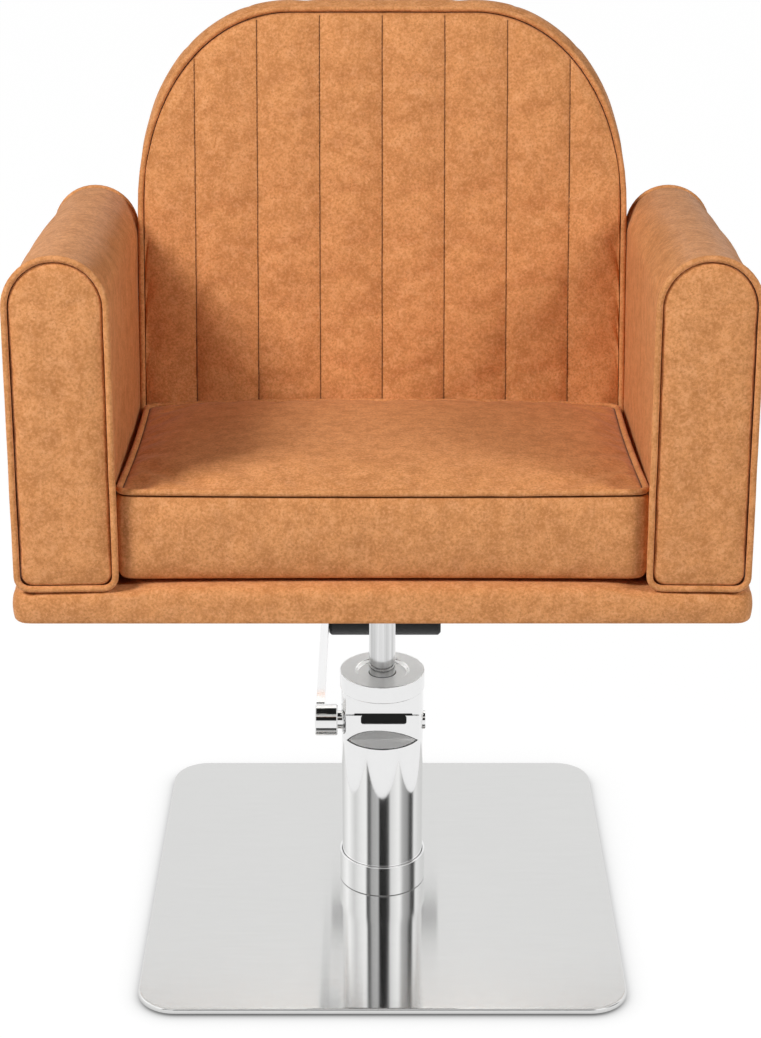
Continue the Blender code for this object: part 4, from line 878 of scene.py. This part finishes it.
class CHAIR_OT_platform(Operator):
    """Padded platform under the arms and the cushion, with folded corners"""

    bl_idname = "chair.platform"
    bl_label = "Platform"

    COLUMNS = 91
    ROWS = 47
    CORNER = 0.016
    EDGE_HIGH = 0.008
    EDGE_LOW = 0.004
    STUFFING = (0.0022, 0.008)
    PLEAT_REACH = 0.030
    PLEAT_DEPTH = 0.0011
    PLEAT_WIDTH = 0.0042

    def execute(self, context):
        sizes, finishes = context.scene.chair_sizes, context.scene.chair_finishes
        u, v = np.meshgrid(np.linspace(-1, 1, self.COLUMNS), np.linspace(-1, 1, self.ROWS))
        high, low = self.EDGE_HIGH, self.EDGE_LOW
        top = self.level(sizes, u, v, high, sizes.platform_height)
        inner = sizes.arm_centre - sizes.arm_half - 0.012
        across = np.clip(1 - (np.abs(top[..., 0]) / inner) ** 4, 0.0, 1.0)
        along = np.clip((top[..., 1] - sizes.front) / 0.020, 0.0, 1.0)
        top[..., 2] += sizes.platform_crown * across * np.sqrt(along)
        edge_u, edge_v = np.array(rim(u)), np.array(rim(v))
        middle = sizes.platform_height / 2
        levels = [
            (high * 0.55, sizes.platform_height - high * 0.08), (high * 0.22, sizes.platform_height - high * 0.28),
            (high * 0.04, sizes.platform_height - high * 0.62), (-0.0006, middle + 0.006), (-0.0010, middle),
            (-0.0006, middle - 0.006), (0.0, low), (low * 0.3, low * 0.3),
        ]
        rings = [self.folded(sizes, self.level(sizes, edge_u, edge_v, inset, z), z) for inset, z in levels]
        rim_rise = np.clip(1 - (np.abs(rings[0][:, 0]) / inner) ** 4, 0.0, 1.0) * (rings[0][:, 1] < 0)
        for ring, share in zip(rings, (0.80, 0.45, 0.15)):
            ring[:, 2] += sizes.platform_crown * 0.55 * rim_rise * share
        bottom = self.level(sizes, u, v, low, 0.0)
        cover = leather("platform_leather", finishes, (1.1, 2.4, 0.6))
        obj, top_numbers, ring_numbers, bottom_numbers = boxed_form("platform_cover", top, rings, bottom, cover)
        place = chair_frame(sizes)
        obj.matrix_world = place
        flat = np.abs(top[..., 0]) > inner
        held = list(bottom_numbers.reshape(-1)) + ring_numbers[-1] + list(top_numbers[flat])
        stuffed(obj, held, *self.STUFFING)
        smoothed(obj, 1)
        settle(obj, place, "seat", "tan_upholstery", "platform_pad")
        return {"FINISHED"}

    def level(self, sizes, u, v, inset, height):
        half, rear_half = sizes.platform_half - inset, sizes.platform_half + sizes.arm_splay - inset
        front, rear = sizes.front + inset, sizes.front + sizes.platform_depth - inset
        x, y = plan(u, v, half, rear_half, front, rear, max(self.CORNER - inset, 0.006))
        return np.stack([x, y, np.full_like(x, height)], axis=-1)

    def folded(self, sizes, ring, height):
        """Small pleats where the cover is folded under the corners."""
        middle = np.array([0.0, sizes.front + sizes.platform_depth / 2])
        low = max(1.0 - height / 0.018, 0.0)
        for point in ring:
            corner_x = math.copysign(sizes.platform_half, point[0])
            corner_y = math.copysign(sizes.platform_depth / 2, point[1] - middle[1]) + middle[1]
            reach = np.linalg.norm(point[:2] - np.array([corner_x, corner_y]))
            if reach < self.PLEAT_REACH:
                fade = 1 - reach / self.PLEAT_REACH
                pleat = self.PLEAT_DEPTH * low * fade * math.sin(reach / self.PLEAT_WIDTH * math.pi)
                outward = point[:2] - middle
                point[:2] += outward / np.linalg.norm(outward) * pleat
        return ring


class CHAIR_OT_arms(Operator):
    """Two round-topped arms with piped front and rear panels"""

    bl_idname = "chair.arms"
    bl_label = "Arms"

    SIDE_STEPS = 30
    ARC_STEPS = 22
    LENGTH_STEPS = 52
    END = 0.0190
    UNEVEN = 0.0009
    STUFFING = (0.0016, 0.006)
    CORNER = 0.012
    MIDDLE = 9
    # An end panel from its middle to its seam: how far in from the seam, and how far back.
    PANEL = (
        (0.0410, -0.0006), (0.0330, -0.0006), (0.0240, -0.0003), (0.0150, 0.0002), (0.0080, 0.0008),
        (0.0035, 0.0016), (0.0012, 0.0028), (0.0002, 0.0044), (0.0000, 0.0062),
    )

    def execute(self, context):
        for side, label in ((-1, "left"), (1, "right")):
            self.arm(context, side, label)
        return {"FINISHED"}

    def arm(self, context, side, label):
        sizes, finishes = context.scene.chair_sizes, context.scene.chair_finishes
        floor = on_platform(sizes)
        panel = sizes.arm_seam - 0.0006
        stations = [(panel - inset, floor + 2 * sizes.piping + inset * 0.9, y) for inset, y in self.PANEL]
        seam_row = len(stations) - 1
        stations += [(sizes.arm_half - 0.0006, floor, 0.0066), (sizes.arm_half, floor, 0.0110)]
        between = np.linspace(self.END, sizes.arm_length - self.END, self.LENGTH_STEPS)
        inner_stations = [(sizes.arm_half, floor, y) for y in between]
        rear = [(half, bottom, sizes.arm_length - y) for half, bottom, y in reversed(stations)]
        rows = stations + inner_stations + rear
        points, faces, numbers = [], [], []
        for half, bottom, y in rows:
            ring = self.outline(sizes, half, bottom)
            numbers.append(list(range(len(points), len(points) + len(ring))))
            swell = math.sin(math.pi * min(max(y / sizes.arm_length, 0.0), 1.0)) ** 0.45
            for x, z in ring:
                outer = max(x * side / sizes.arm_half, 0.0) ** 1.5
                rise = min(max((z - floor) / 0.05, 0.0), 1.0)
                push = side * sizes.arm_swell * swell * outer * rise if half > panel else 0.0
                spot = Vector((x * 14 + 7 * side, y * 14, z * 14))
                dent = self.UNEVEN * noise.noise(spot) if half > panel else 0.0
                points.append((x + push + dent * (1 if x > 0 else -1), y, z))
        for first, second in zip(numbers, numbers[1:]):
            faces += strip_faces(first, second)
        for end in (numbers[0], numbers[-1]):
            faces += self.ladder(end)
        cover = leather(f"{label}_arm_leather", finishes, (0.7 + 2 * side, 0.9, 1.6 - side), True)
        obj = mesh_object(f"{label}_arm_cover", points, faces, cover)
        seam = numbers[seam_row] + numbers[seam_row + 1] + numbers[-1 - seam_row] + numbers[-2 - seam_row]
        # Painted shade along the piped seams: full on the seam rows, half on the rows next to them.
        depth = np.zeros(len(points))
        depth[numbers[seam_row - 1] + numbers[-seam_row]] = 0.5
        depth[seam] = 1.0
        paint_seam_shade(obj, depth)
        low = [i for i, point in enumerate(points) if point[2] < floor + 0.016]
        place = arm_frame(sizes, side)
        obj.matrix_world = place
        stuffed(obj, seam + low + numbers[0] + numbers[-1], *self.STUFFING)
        smoothed(obj, 1)
        settle(obj, place, "seat", "tan_upholstery", f"{label}_arm_pad")

        cord_finish = leather(f"{label}_arm_piping_leather", finishes, (3.3, 0.4 * side, 2.0))
        ends = (
            ("front", sizes.piping, sizes.arm_seam + sizes.piping),
            ("rear", sizes.arm_length - sizes.piping, sizes.arm_seam),
        )
        for end, y, half in ends:
            path = [(x, y, z) for x, z in self.outline(sizes, half, floor + sizes.piping)]
            cord = piping(f"{label}_arm_{end}_piping", path, sizes.piping, cord_finish, True)
            settle(cord, place, "seat", "tan_welt", f"{label}_arm_{end}_welt")

    def ladder(self, ring):
        """Closes an outline with rungs between its left and right sides."""
        count = len(ring)
        right = [ring[(self.MIDDLE + k) % count] for k in range(count // 2 + 1)]
        left = [ring[(self.MIDDLE - k) % count] for k in range(count // 2 + 1)]
        rungs = [(right[k], right[k + 1], left[k + 1], left[k]) for k in range(1, count // 2 - 1)]
        return rungs + [(right[0], right[1], left[1]), (right[-2], right[-1], left[-2])]

    def outline(self, sizes, half, bottom):
        """An arm's outline in X and Z, always with the same count of points."""
        corner = min(self.CORNER, half * 0.6)
        shoulder = sizes.arm_shoulder
        ring = []
        for side, start in ((-1, math.pi), (1, 1.5 * math.pi)):
            for k in range(6):
                turn = start + k / 5 * math.pi / 2
                x = side * (half - corner) + corner * math.cos(turn)
                ring.append((x, bottom + corner + corner * math.sin(turn)))
            if side < 0:
                ring += [((half - corner) * (k / 4 - 1), bottom) for k in range(1, 8)]
        low = bottom + corner
        ring += [(half, low + (shoulder - low) * k / self.SIDE_STEPS) for k in range(1, self.SIDE_STEPS)]
        for k in range(self.ARC_STEPS + 1):
            turn = math.pi * k / self.ARC_STEPS
            ring.append((half * math.cos(turn), shoulder + half * math.sin(turn)))
        ring += [(-half, shoulder + (low - shoulder) * k / self.SIDE_STEPS) for k in range(1, self.SIDE_STEPS)]
        return ring


class CHAIR_OT_backrest(Operator):
    """Arched backrest with sewn channels, piping, a padded border and a rear panel"""

    bl_idname = "chair.backrest"
    bl_label = "Backrest"

    ROWS = 63
    CHANNEL_SHARES = (0.0, 0.04, 0.12, 0.25, 0.375, 0.5, 0.625, 0.75, 0.88, 0.96)
    OUTER_STEPS = 10
    ROUNDNESS = 2.1
    STUFFING = (0.0024, 0.010)
    REAR_THICK = 0.0110
    REAR_CROWN = 0.0030
    # The rear panel's edge: past the outline, and back from the pad.
    REAR_EDGE = ((-0.0028, 0.0102), (-0.0006, 0.0072), (0.0, 0.0040), (-0.0012, 0.0012))
    SEAM_FOOT = -0.020
    SEAM_SWAY = 0.0004
    # A stitch along its length: share of the length, of the thread's thickness and of its lift.
    STITCH = ((0.0, 0.35, 0.3), (0.12, 0.9, 0.75), (0.5, 1.0, 1.0), (0.88, 0.9, 0.75), (1.0, 0.35, 0.3))

    def execute(self, context):
        sizes, finishes = context.scene.chair_sizes, context.scene.chair_finishes
        place = back_frame(sizes)
        self.pad(sizes, finishes, place)
        self.rear_panel(sizes, finishes, place)
        self.edge_piping(sizes, finishes, place)
        self.stitching(sizes, finishes, place)
        return {"FINISHED"}

    def arch(self, sizes, x, offset):
        """Height of the outline at one distance from the middle."""
        beyond = abs(x) - (sizes.back_half - sizes.back_corner_width)
        if beyond <= 0:
            return sizes.back_top + offset
        share = min(beyond / (sizes.back_corner_width + offset), 1.0)
        spring = sizes.back_top - sizes.back_corner_height
        return spring + (sizes.back_corner_height + offset) * (1.0 - share**self.ROUNDNESS) ** (1 / self.ROUNDNESS)

    def columns(self, sizes):
        """Places of the sheet's columns, and the numbers of those on a seam."""
        edge = 3 * sizes.channel
        half = [(k + share) * sizes.channel for k in range(3) for share in self.CHANNEL_SHARES]
        half += [edge, edge + self.CHANNEL_SHARES[1] * sizes.channel]
        straight = sizes.back_half - sizes.back_corner_width
        turn = math.acos((edge - straight) / sizes.back_corner_width)
        for k in range(1, self.OUTER_STEPS + 1):
            half.append(straight + sizes.back_corner_width * math.cos(turn * (1 - k / self.OUTER_STEPS)))
        both = [-x for x in reversed(half[1:])] + half
        middle = len(half) - 1
        return both, [middle + k * len(self.CHANNEL_SHARES) for k in range(-3, 4)]

    def spot(self, sizes, x, share, offset):
        wide = x * (sizes.back_half + offset) / sizes.back_half
        return wide, -sizes.back_low + share * (self.arch(sizes, wide, offset) + sizes.back_low)

    def sheet(self, sizes, columns, points, offset, depth):
        """Adds a grid of points over the outline and returns their numbers."""
        first = len(points)
        for j in range(self.ROWS + 1):
            for x in columns:
                wide, z = self.spot(sizes, x, j / self.ROWS, offset)
                points.append((wide, depth(wide, z), z))
        return np.arange(first, len(points)).reshape(self.ROWS + 1, len(columns))

    def crown(self, sizes, x, z):
        """How far the padded front stands out at one point."""
        edge = max(min(self.arch(sizes, x, 0.0) - z, sizes.back_half - abs(x)), 0.0)
        full = 1.0 - (1.0 - min(edge / sizes.channel, 1.0)) ** 2
        bound = 3 * sizes.channel
        if abs(x) < bound:
            share = (abs(x) / sizes.channel) % 1.0
        else:
            share = min((abs(x) - bound) / (sizes.back_half - bound), 1.0)
        pillow = max(1.0 - abs(2 * share - 1.0) ** 3.0, 0.0)
        near_top = min(edge / (sizes.channel * 0.35), 1.0)
        return sizes.channel_crown * pillow * math.sqrt(near_top) + sizes.back_crown * full

    def perimeter(self, sizes, columns, offset):
        """The outline as a loop round the sheet, from its lower left corner."""
        shares = [j / self.ROWS for j in range(self.ROWS + 1)]
        loop = [(x, 0.0) for x in columns] + [(columns[-1], share) for share in shares[1:]]
        loop += [(x, 1.0) for x in reversed(columns[:-1])]
        loop += [(columns[0], share) for share in reversed(shares[1:-1])]
        return [self.spot(sizes, x, share, offset) for x, share in loop]

    def pad(self, sizes, finishes, place):
        columns, seams = self.columns(sizes)
        points = []
        numbers = self.sheet(sizes, columns, points, -0.0006, lambda x, z: -self.crown(sizes, x, z))
        faces = grid_faces(numbers)
        previous = rim(numbers)
        held = list(previous) + [int(n) for column in seams for n in numbers[:, column]]
        # Painted shade in the seams: the sewn channel seams, the outline and the rows at the piping.
        seam_shade_at = {int(n): 0.85 for column in seams for n in numbers[:, column]}
        seam_shade_at.update({int(n): 0.7 for n in previous})
        deep, side, top = sizes.back_depth, sizes.back_side_bulge, sizes.back_top_bulge
        levels = [(-0.0004, -0.0004, 0.0034), (0.0018, 0.0020, 0.0040), (0.0030, 0.0062, 0.0072)]
        for share, swell in ((0.22, 0.75), (0.36, 0.93), (0.5, 1.0), (0.64, 0.95), (0.78, 0.8)):
            levels.append((side, top * swell, deep * share))
        levels += [(side * 0.8, top * 0.55, deep * 0.9), (0.0, top * 0.15, deep * 0.97)]
        spring = sizes.back_top - sizes.back_corner_height
        for index, (offset, swell, y) in enumerate(levels):
            plain = self.perimeter(sizes, columns, offset)
            full = self.perimeter(sizes, columns, swell)
            current = list(range(len(points), len(points) + len(plain)))
            for (x, z), (far_x, far_z) in zip(plain, full):
                share = math.sin(min(max((z - spring) / sizes.back_corner_height, 0.0), 1.0) * math.pi / 2)
                points.append((x + (far_x - x) * share, y, z + (far_z - z) * share))
            faces += strip_faces(previous, current)
            if index < 2:
                seam_shade_at.update({number: 1.0 for number in current})
            if index < 2 or index > len(levels) - 3:
                held += current
            previous = current
        rear = self.sheet(sizes, columns, points, -0.0060, lambda x, z: deep)
        faces += strip_faces(previous, rim(rear)) + grid_faces(rear)
        held += list(rear.reshape(-1))
        cover = leather("backrest_leather", finishes, (0.2, 0.5, 3.1), True)
        obj = mesh_object("backrest_cover", points, faces, cover)
        depth = np.zeros(len(points))
        for number, value in seam_shade_at.items():
            depth[number] = value
        paint_seam_shade(obj, depth)
        creased_edges(obj, [n for column in seams for n in numbers[:, column]], 0.9)
        obj.matrix_world = place
        stuffed(obj, held, *self.STUFFING)
        smoothed(obj, 2)
        settle(obj, place, "seat", "tan_upholstery", "backrest_pad")

    def rear_panel(self, sizes, finishes, place):
        columns, _ = self.columns(sizes)
        start = sizes.back_depth + 0.0003
        points = []

        def swell(x, z):
            edge = max(min(self.arch(sizes, x, 0.0) - z, sizes.back_half - abs(x)), 0.0)
            return start + self.REAR_THICK + self.REAR_CROWN * min(edge / 0.10, 1.0) ** 0.6

        numbers = self.sheet(sizes, columns, points, -0.0070, swell)
        faces = grid_faces(numbers)
        previous = rim(numbers)
        for offset, y in self.REAR_EDGE:
            current = list(range(len(points), len(points) + len(previous)))
            points += [(x, start + y, z) for x, z in self.perimeter(sizes, columns, offset)]
            faces += strip_faces(previous, current)
            previous = current
        inner = self.sheet(sizes, columns, points, -0.0060, lambda x, z: start)
        faces += strip_faces(previous, rim(inner)) + grid_faces(inner)
        cover = leather("rear_panel_leather", finishes, (4.0, 1.0, 2.0))
        obj = mesh_object("backrest_rear_cover", points, faces, cover)
        smoothed(obj, 1)
        settle(obj, place, "seat", "tan_upholstery", "backrest_rear_panel")

    def edge_piping(self, sizes, finishes, place):
        columns, _ = self.columns(sizes)
        loop = self.perimeter(sizes, columns, sizes.piping)
        arch = [(x, 0.0, z) for x, z in loop[len(columns) - 1:] + loop[:1] if z > -0.080]
        cord_leather = leather("back_piping_leather", finishes, (1.9, 3.0, 0.3))
        cord = piping("backrest_piping", arch, sizes.piping, cord_leather, False)
        settle(cord, place, "seat", "tan_welt", "backrest_welt")

    def stitching(self, sizes, finishes, place):
        """Thread dashes down each seam of the backrest, over a continuous dark cord that stands in as painted shadow
        in the seam.
        """
        points, faces = [], []
        pitch = sizes.stitch + sizes.stitch_gap
        radius = sizes.thread
        for k in range(-3, 4):
            x = k * sizes.channel
            top = self.arch(sizes, x, 0.0) - 0.004
            low = self.SEAM_FOOT
            # A continuous dark cord along the seam's floor, under the stitches: painted shadow of the seam's groove.
            shadow_cord = []
            for z in np.linspace(low, top, 80):
                sway = self.SEAM_SWAY * noise.noise(Vector((k * 3.1, z * 30.0, 0.5)))
                shadow_cord.append(list(range(len(points), len(points) + 6)))
                for corner in range(6):
                    turn = math.pi * corner / 3
                    y = -self.crown(sizes, x, z) + radius * math.sin(turn)
                    points.append((x + sway + radius * 1.2 * math.cos(turn), y, z))
            for first, second in zip(shadow_cord, shadow_cord[1:]):
                faces += strip_faces(first, second)
            faces += [shadow_cord[0], shadow_cord[-1]]
            for index in range(int((top - low) / pitch)):
                start = low + index * pitch
                sway = self.SEAM_SWAY * noise.noise(Vector((k * 3.1, start * 30.0, 0.5)))
                rows = []
                for share, thick, lift in self.STITCH:
                    z = start + sizes.stitch * share
                    y = -self.crown(sizes, x, z) - radius * lift
                    rows.append(list(range(len(points), len(points) + 6)))
                    for corner in range(6):
                        turn = math.pi * corner / 3
                        lean = 0.0004 * (share - 0.5)
                        spread = radius * thick
                        points.append((x + sway + lean + spread * math.cos(turn), y + spread * math.sin(turn), z))
                for first, second in zip(rows, rows[1:]):
                    faces += strip_faces(first, second)
                faces.append(rows[0])
                faces.append(rows[-1])
        obj = mesh_object("backrest_stitching", points, faces, thread_finish(finishes))
        settle(obj, place, "seat", "tan_welt")


# Metal and moulded pieces


class CHAIR_OT_base_plate(Operator):
    """Brushed square base plate with its folded, rounded edge"""

    bl_idname = "chair.base_plate"
    bl_label = "Base Plate"

    CORNER = 0.040
    # The folded edge: how far in, and how far above the pan's foot or below its top.
    FOOT = ((0.0012, 0.0), (0.0, 0.0008))
    FOLD = ((0.0, 0.0022), (0.0003, 0.0011), (0.0010, 0.0003), (0.0020, 0.0), (0.0040, 0.0))

    def execute(self, context):
        finishes = context.scene.chair_finishes
        low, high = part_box("base_cover")
        levels = [(inset, low.z + rise) for inset, rise in self.FOOT]
        levels += [(inset, high.z - drop) for inset, drop in self.FOLD]
        points, faces = [], []
        previous = None
        for inset, z in levels:
            ring = self.outline(low, high, inset)
            current = list(range(len(points), len(points) + len(ring)))
            points += [(x, y, z) for x, y in ring]
            faces += strip_faces(previous, current) if previous else [current]
            previous = current
        faces.append(previous)
        finish = brushed_finish(
            "brushed_plate", finishes.plate, finishes.plate_gloss, (1.0, 60.0, 1.0), 26.0, "brush"
        )
        plate = flat_walls(mesh_object("base_plate_cover", points, faces, finish, 50))
        across = plate.data.uv_layers.new(name="brush")
        for loop in plate.data.loops:
            spot = plate.data.vertices[loop.vertex_index].co
            across.data[loop.index].uv = (spot.y, spot.x)
        settle(plate, Matrix.Identity(4), "base", "stainless", "base_cover")
        paint(["base_core_plate"], brushed_finish("mild_steel", (0.35, 0.35, 0.36), 0.4, (1.0, 20.0, 1.0), 40.0))
        paint(["floor_mat"], coated_finish("mat_rubber", (0.012, 0.012, 0.012), 0.75, 400.0, 0.0006))
        return {"FINISHED"}

    def outline(self, low, high, inset):
        ring = []
        radius = self.CORNER - inset
        for quarter, (x, y) in enumerate(((high.x, high.y), (low.x, high.y), (low.x, low.y), (high.x, low.y))):
            centre_x = x - math.copysign(self.CORNER, x)
            centre_y = y - math.copysign(self.CORNER, y)
            for k in range(13):
                turn = math.pi / 2 * (quarter + k / 12)
                ring.append((centre_x + radius * math.cos(turn), centre_y + radius * math.sin(turn)))
        return ring


class CHAIR_OT_column(Operator):
    """Chromed column, its foot ring, the pump head and the piston rod"""

    bl_idname = "chair.column"
    bl_label = "Column"

    # The cap's dish: its depth, its inner step, and the radii of its sloping side.
    DISH = 0.0034
    DISH_STEP = 0.0007
    DISH_SIDE = (0.0265, 0.0285)
    # The black strip over the window, painted shadow of the slit there: past its ends, from and to a height over it,
    # and how proud of it.
    SHADOW_STRIP_BEYOND = (0.0075, 0.0065)
    SHADOW_STRIP_RISE = (0.0002, 0.0026)
    SHADOW_STRIP_PROUD = 0.0014
    SHADOW_STRIP_DEPTH = 0.0006
    SHADOW_STRIP_BEND = 0.0011

    def execute(self, context):
        finishes = context.scene.chair_finishes
        chrome = chrome_finish("bright_chrome", finishes, finishes.chrome_gloss)
        machined = brushed_finish("machined_face", (0.93, 0.93, 0.93), 0.30, (1.0, 30.0, 1.0), 60.0, metallic=0.15)
        steel = brushed_finish("turned_steel", (0.5, 0.5, 0.5), 0.3, (1.0, 1.0, 20.0), 80.0)
        rubber = coated_finish("seal_rubber", (0.004, 0.004, 0.004), 0.45, 300.0, 0.0003)
        still = Matrix.Identity(4)
        low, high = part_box("column_sleeve")
        tube = eased([(high.x - 0.002, low.z), (high.x - 0.002, high.z), (high.x, high.z), (high.x, low.z)], 0.0004)
        settle(turned("column_tube", tube, chrome), still, "base", "chrome", "column_sleeve")
        low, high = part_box("foot_ring")
        ring = [(high.x - 0.0025, low.z), (high.x - 0.0025, high.z), (high.x, high.z), (high.x, low.z)]
        settle(turned("foot_collar", eased(ring, 0.0007), chrome), still, "base", "chrome", "foot_ring")
        low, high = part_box("head_cap")
        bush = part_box("rod_guide_bush")[1].x + 0.0003
        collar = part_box("piston_rod")[1].x + 0.0007
        dish = high.z - self.DISH
        step = dish - self.DISH_STEP
        inner, outer = self.DISH_SIDE
        cap = [
            (bush, low.z), (bush, step), (collar, step), (collar, dish), (inner, dish),
            (outer, high.z), (high.x, high.z), (high.x, low.z),
        ]
        pump_cap = turned("pump_cap", eased(cap, 0.0012), chrome)
        pump_cap.data.materials.append(machined)
        for face in pump_cap.data.polygons:
            face.material_index = int(face.normal.z > 0.95)
        settle(pump_cap, still, "base", "chrome", "head_cap")
        low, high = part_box("piston_rod")
        rod = eased([(0.0, high.z), (high.x, high.z), (high.x, low.z), (0.0, low.z)], 0.0008)
        rod_finish = brushed_finish("ground_rod", finishes.chrome, 0.13, (1.0, 1.0, 0.01), 150.0, None, 0.95)
        settle(turned("ground_piston_rod", rod, rod_finish, 96), still, "seat", "chrome", "piston_rod")
        dressed("pump_head", chrome, 0.0009, "base", "chrome", machined)
        dressed("window_shield", rubber, 0.0003, "base", "rubber")
        # A black strip as painted shadow of the slit over the window.
        self.slit_shadow_strip(rubber)
        paint(["pump_cylinder", "plunger_barrel", "plunger_spring", "pump_plunger", "piston"], steel)
        paint(["base_bolt_1", "base_bolt_2", "base_bolt_3", "base_bolt_4"], steel)
        paint(["rod_wiper_seal", "piston_seal"], rubber)
        paint(["rod_guide_bush"], brushed_finish("bronze", (0.50, 0.32, 0.12), 0.3, (1.0, 1.0, 20.0), 60.0))
        return {"FINISHED"}

    def slit_shadow_strip(self, material):
        """A black strip over the sight window, just proud of the pump head's flat front: painted shadow where the
        slit above the window lies.
        """
        low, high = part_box("window_shield")
        front = low.y - self.SHADOW_STRIP_PROUD
        bend = self.SHADOW_STRIP_BEND
        left, right = low.x - self.SHADOW_STRIP_BEYOND[0] + bend, high.x + self.SHADOW_STRIP_BEYOND[1] - bend
        bottom, top = high.z + self.SHADOW_STRIP_RISE[0] + bend, high.z + self.SHADOW_STRIP_RISE[1] - bend
        outline = []
        for quarter, (x, z) in enumerate(((right, top), (left, top), (left, bottom), (right, bottom))):
            for k in range(5):
                turn = math.pi / 2 * (quarter + k / 4)
                outline.append((x + bend * math.cos(turn), z + bend * math.sin(turn)))
        points = [(x, front + depth, z) for depth in (0.0, self.SHADOW_STRIP_DEPTH) for x, z in outline]
        count = len(outline)
        numbers = [list(range(count)), list(range(count, 2 * count))]
        shadow_strip = mesh_object("window_lip", points, strip_faces(*numbers) + numbers, material, 40)
        settle(shadow_strip, Matrix.Identity(4), "base", "rubber")


class CHAIR_OT_pedal(Operator):
    """Foot pedal: chromed hub, shafts and lever, and a rubber bar"""

    bl_idname = "chair.pedal"
    bl_label = "Pedal"

    def execute(self, context):
        finishes = context.scene.chair_finishes
        chrome = chrome_finish("pedal_chrome", finishes, finishes.chrome_gloss)
        steel = brushed_finish("pedal_steel", (0.45, 0.45, 0.45), 0.3, (20.0, 1.0, 1.0), 60.0)
        for node, edge in (("pedal_hub", 0.0006), ("left_trunnion", 0.0004), ("right_trunnion", 0.0004)):
            dressed(node, chrome, edge, "pedal", "chrome")
        lever = brushed_finish("satin_lever", (0.92, 0.92, 0.92), 0.12, (1.0, 0.02, 1.0), 300.0)
        dressed("pedal_arm", lever, 0.0012, "pedal", "chrome")
        grip = coated_finish("pedal_grip", (0.010, 0.010, 0.010), 0.6, 500.0, 0.0008)
        dressed("pedal_rubber", grip, 0.0006, "pedal", "rubber")
        paint(["rocker_fork", "pedal_bar_core"], steel)
        paint(["hub_set_screw"], coated_finish("black_screw", finishes.black, 0.4, 600.0, 0.0002))
        return {"FINISHED"}


class CHAIR_OT_seat_frame(Operator):
    """Swivel mount, boards, brackets, bolts and the lining under the seat"""

    bl_idname = "chair.seat_frame"
    bl_label = "Seat Frame"

    def execute(self, context):
        finishes = context.scene.chair_finishes
        black = coated_finish("black_powder_coat", finishes.black, 0.42, 700.0, 0.0003)
        dressed("mount_socket", black, 0.0006, "seat", "black_steel")
        paint(["mount_plate", "left_back_bracket", "right_back_bracket"], black)
        # The seat board is near black as painted shade for the dark gap between the cushion and the platform.
        paint(["seat_board"], coated_finish("black_board", (0.020, 0.020, 0.020), 0.85, 90.0, 0.0006))
        paint(["underside_lining"], cloth_finish())
        paint(["platform_board", "left_arm_frame", "right_arm_frame", "backrest_frame"], plywood_finish())
        bolts = [f"mount_bolt_{k}" for k in range(1, 5)]
        bolts += [f"{label}_arm_{end}_bolt" for label in ("left", "right") for end in ("front", "rear")]
        paint(bolts, brushed_finish("plated_bolt", (0.55, 0.54, 0.50), 0.32, (1.0, 1.0, 10.0), 90.0))
        return {"FINISHED"}


class CHAIR_PT_dressing(Panel):
    """The chair's pieces and their settings"""

    bl_idname = "CHAIR_PT_dressing"
    bl_label = "Styling Chair"
    bl_space_type = "VIEW_3D"
    bl_region_type = "UI"
    bl_category = "Chair"

    def draw(self, context):
        for operator in OPERATORS:
            self.layout.operator(operator.bl_idname)
        for group in (context.scene.chair_sizes, context.scene.chair_finishes, context.scene.chair_studio):
            box = self.layout.box()
            for name in group.__annotations__:
                box.prop(group, name)


GROUPS = (("chair_sizes", ChairSizes), ("chair_finishes", ChairFinishes), ("chair_studio", ChairStudio))
OPERATORS = (
    CHAIR_OT_studio,
    CHAIR_OT_base_plate,
    CHAIR_OT_column,
    CHAIR_OT_pedal,
    CHAIR_OT_seat_frame,
    CHAIR_OT_platform,
    CHAIR_OT_seat_cushion,
    CHAIR_OT_arms,
    CHAIR_OT_backrest,
)


def register():
    for name, group in GROUPS:
        bpy.utils.register_class(group)
        setattr(bpy.types.Scene, name, PointerProperty(type=group))
    for cls in (*OPERATORS, CHAIR_PT_dressing):
        bpy.utils.register_class(cls)


def unregister():
    for cls in (CHAIR_PT_dressing, *reversed(OPERATORS)):
        bpy.utils.unregister_class(cls)
    for name, group in reversed(GROUPS):
        delattr(bpy.types.Scene, name)
        bpy.utils.unregister_class(group)


def main():
    register()
    bpy.ops.chair.studio()
    bpy.ops.chair.base_plate()
    bpy.ops.chair.column()
    bpy.ops.chair.pedal()
    bpy.ops.chair.seat_frame()
    bpy.ops.chair.platform()
    bpy.ops.chair.seat_cushion()
    bpy.ops.chair.arms()
    bpy.ops.chair.backrest()


if __name__ == "__main__":
    main()
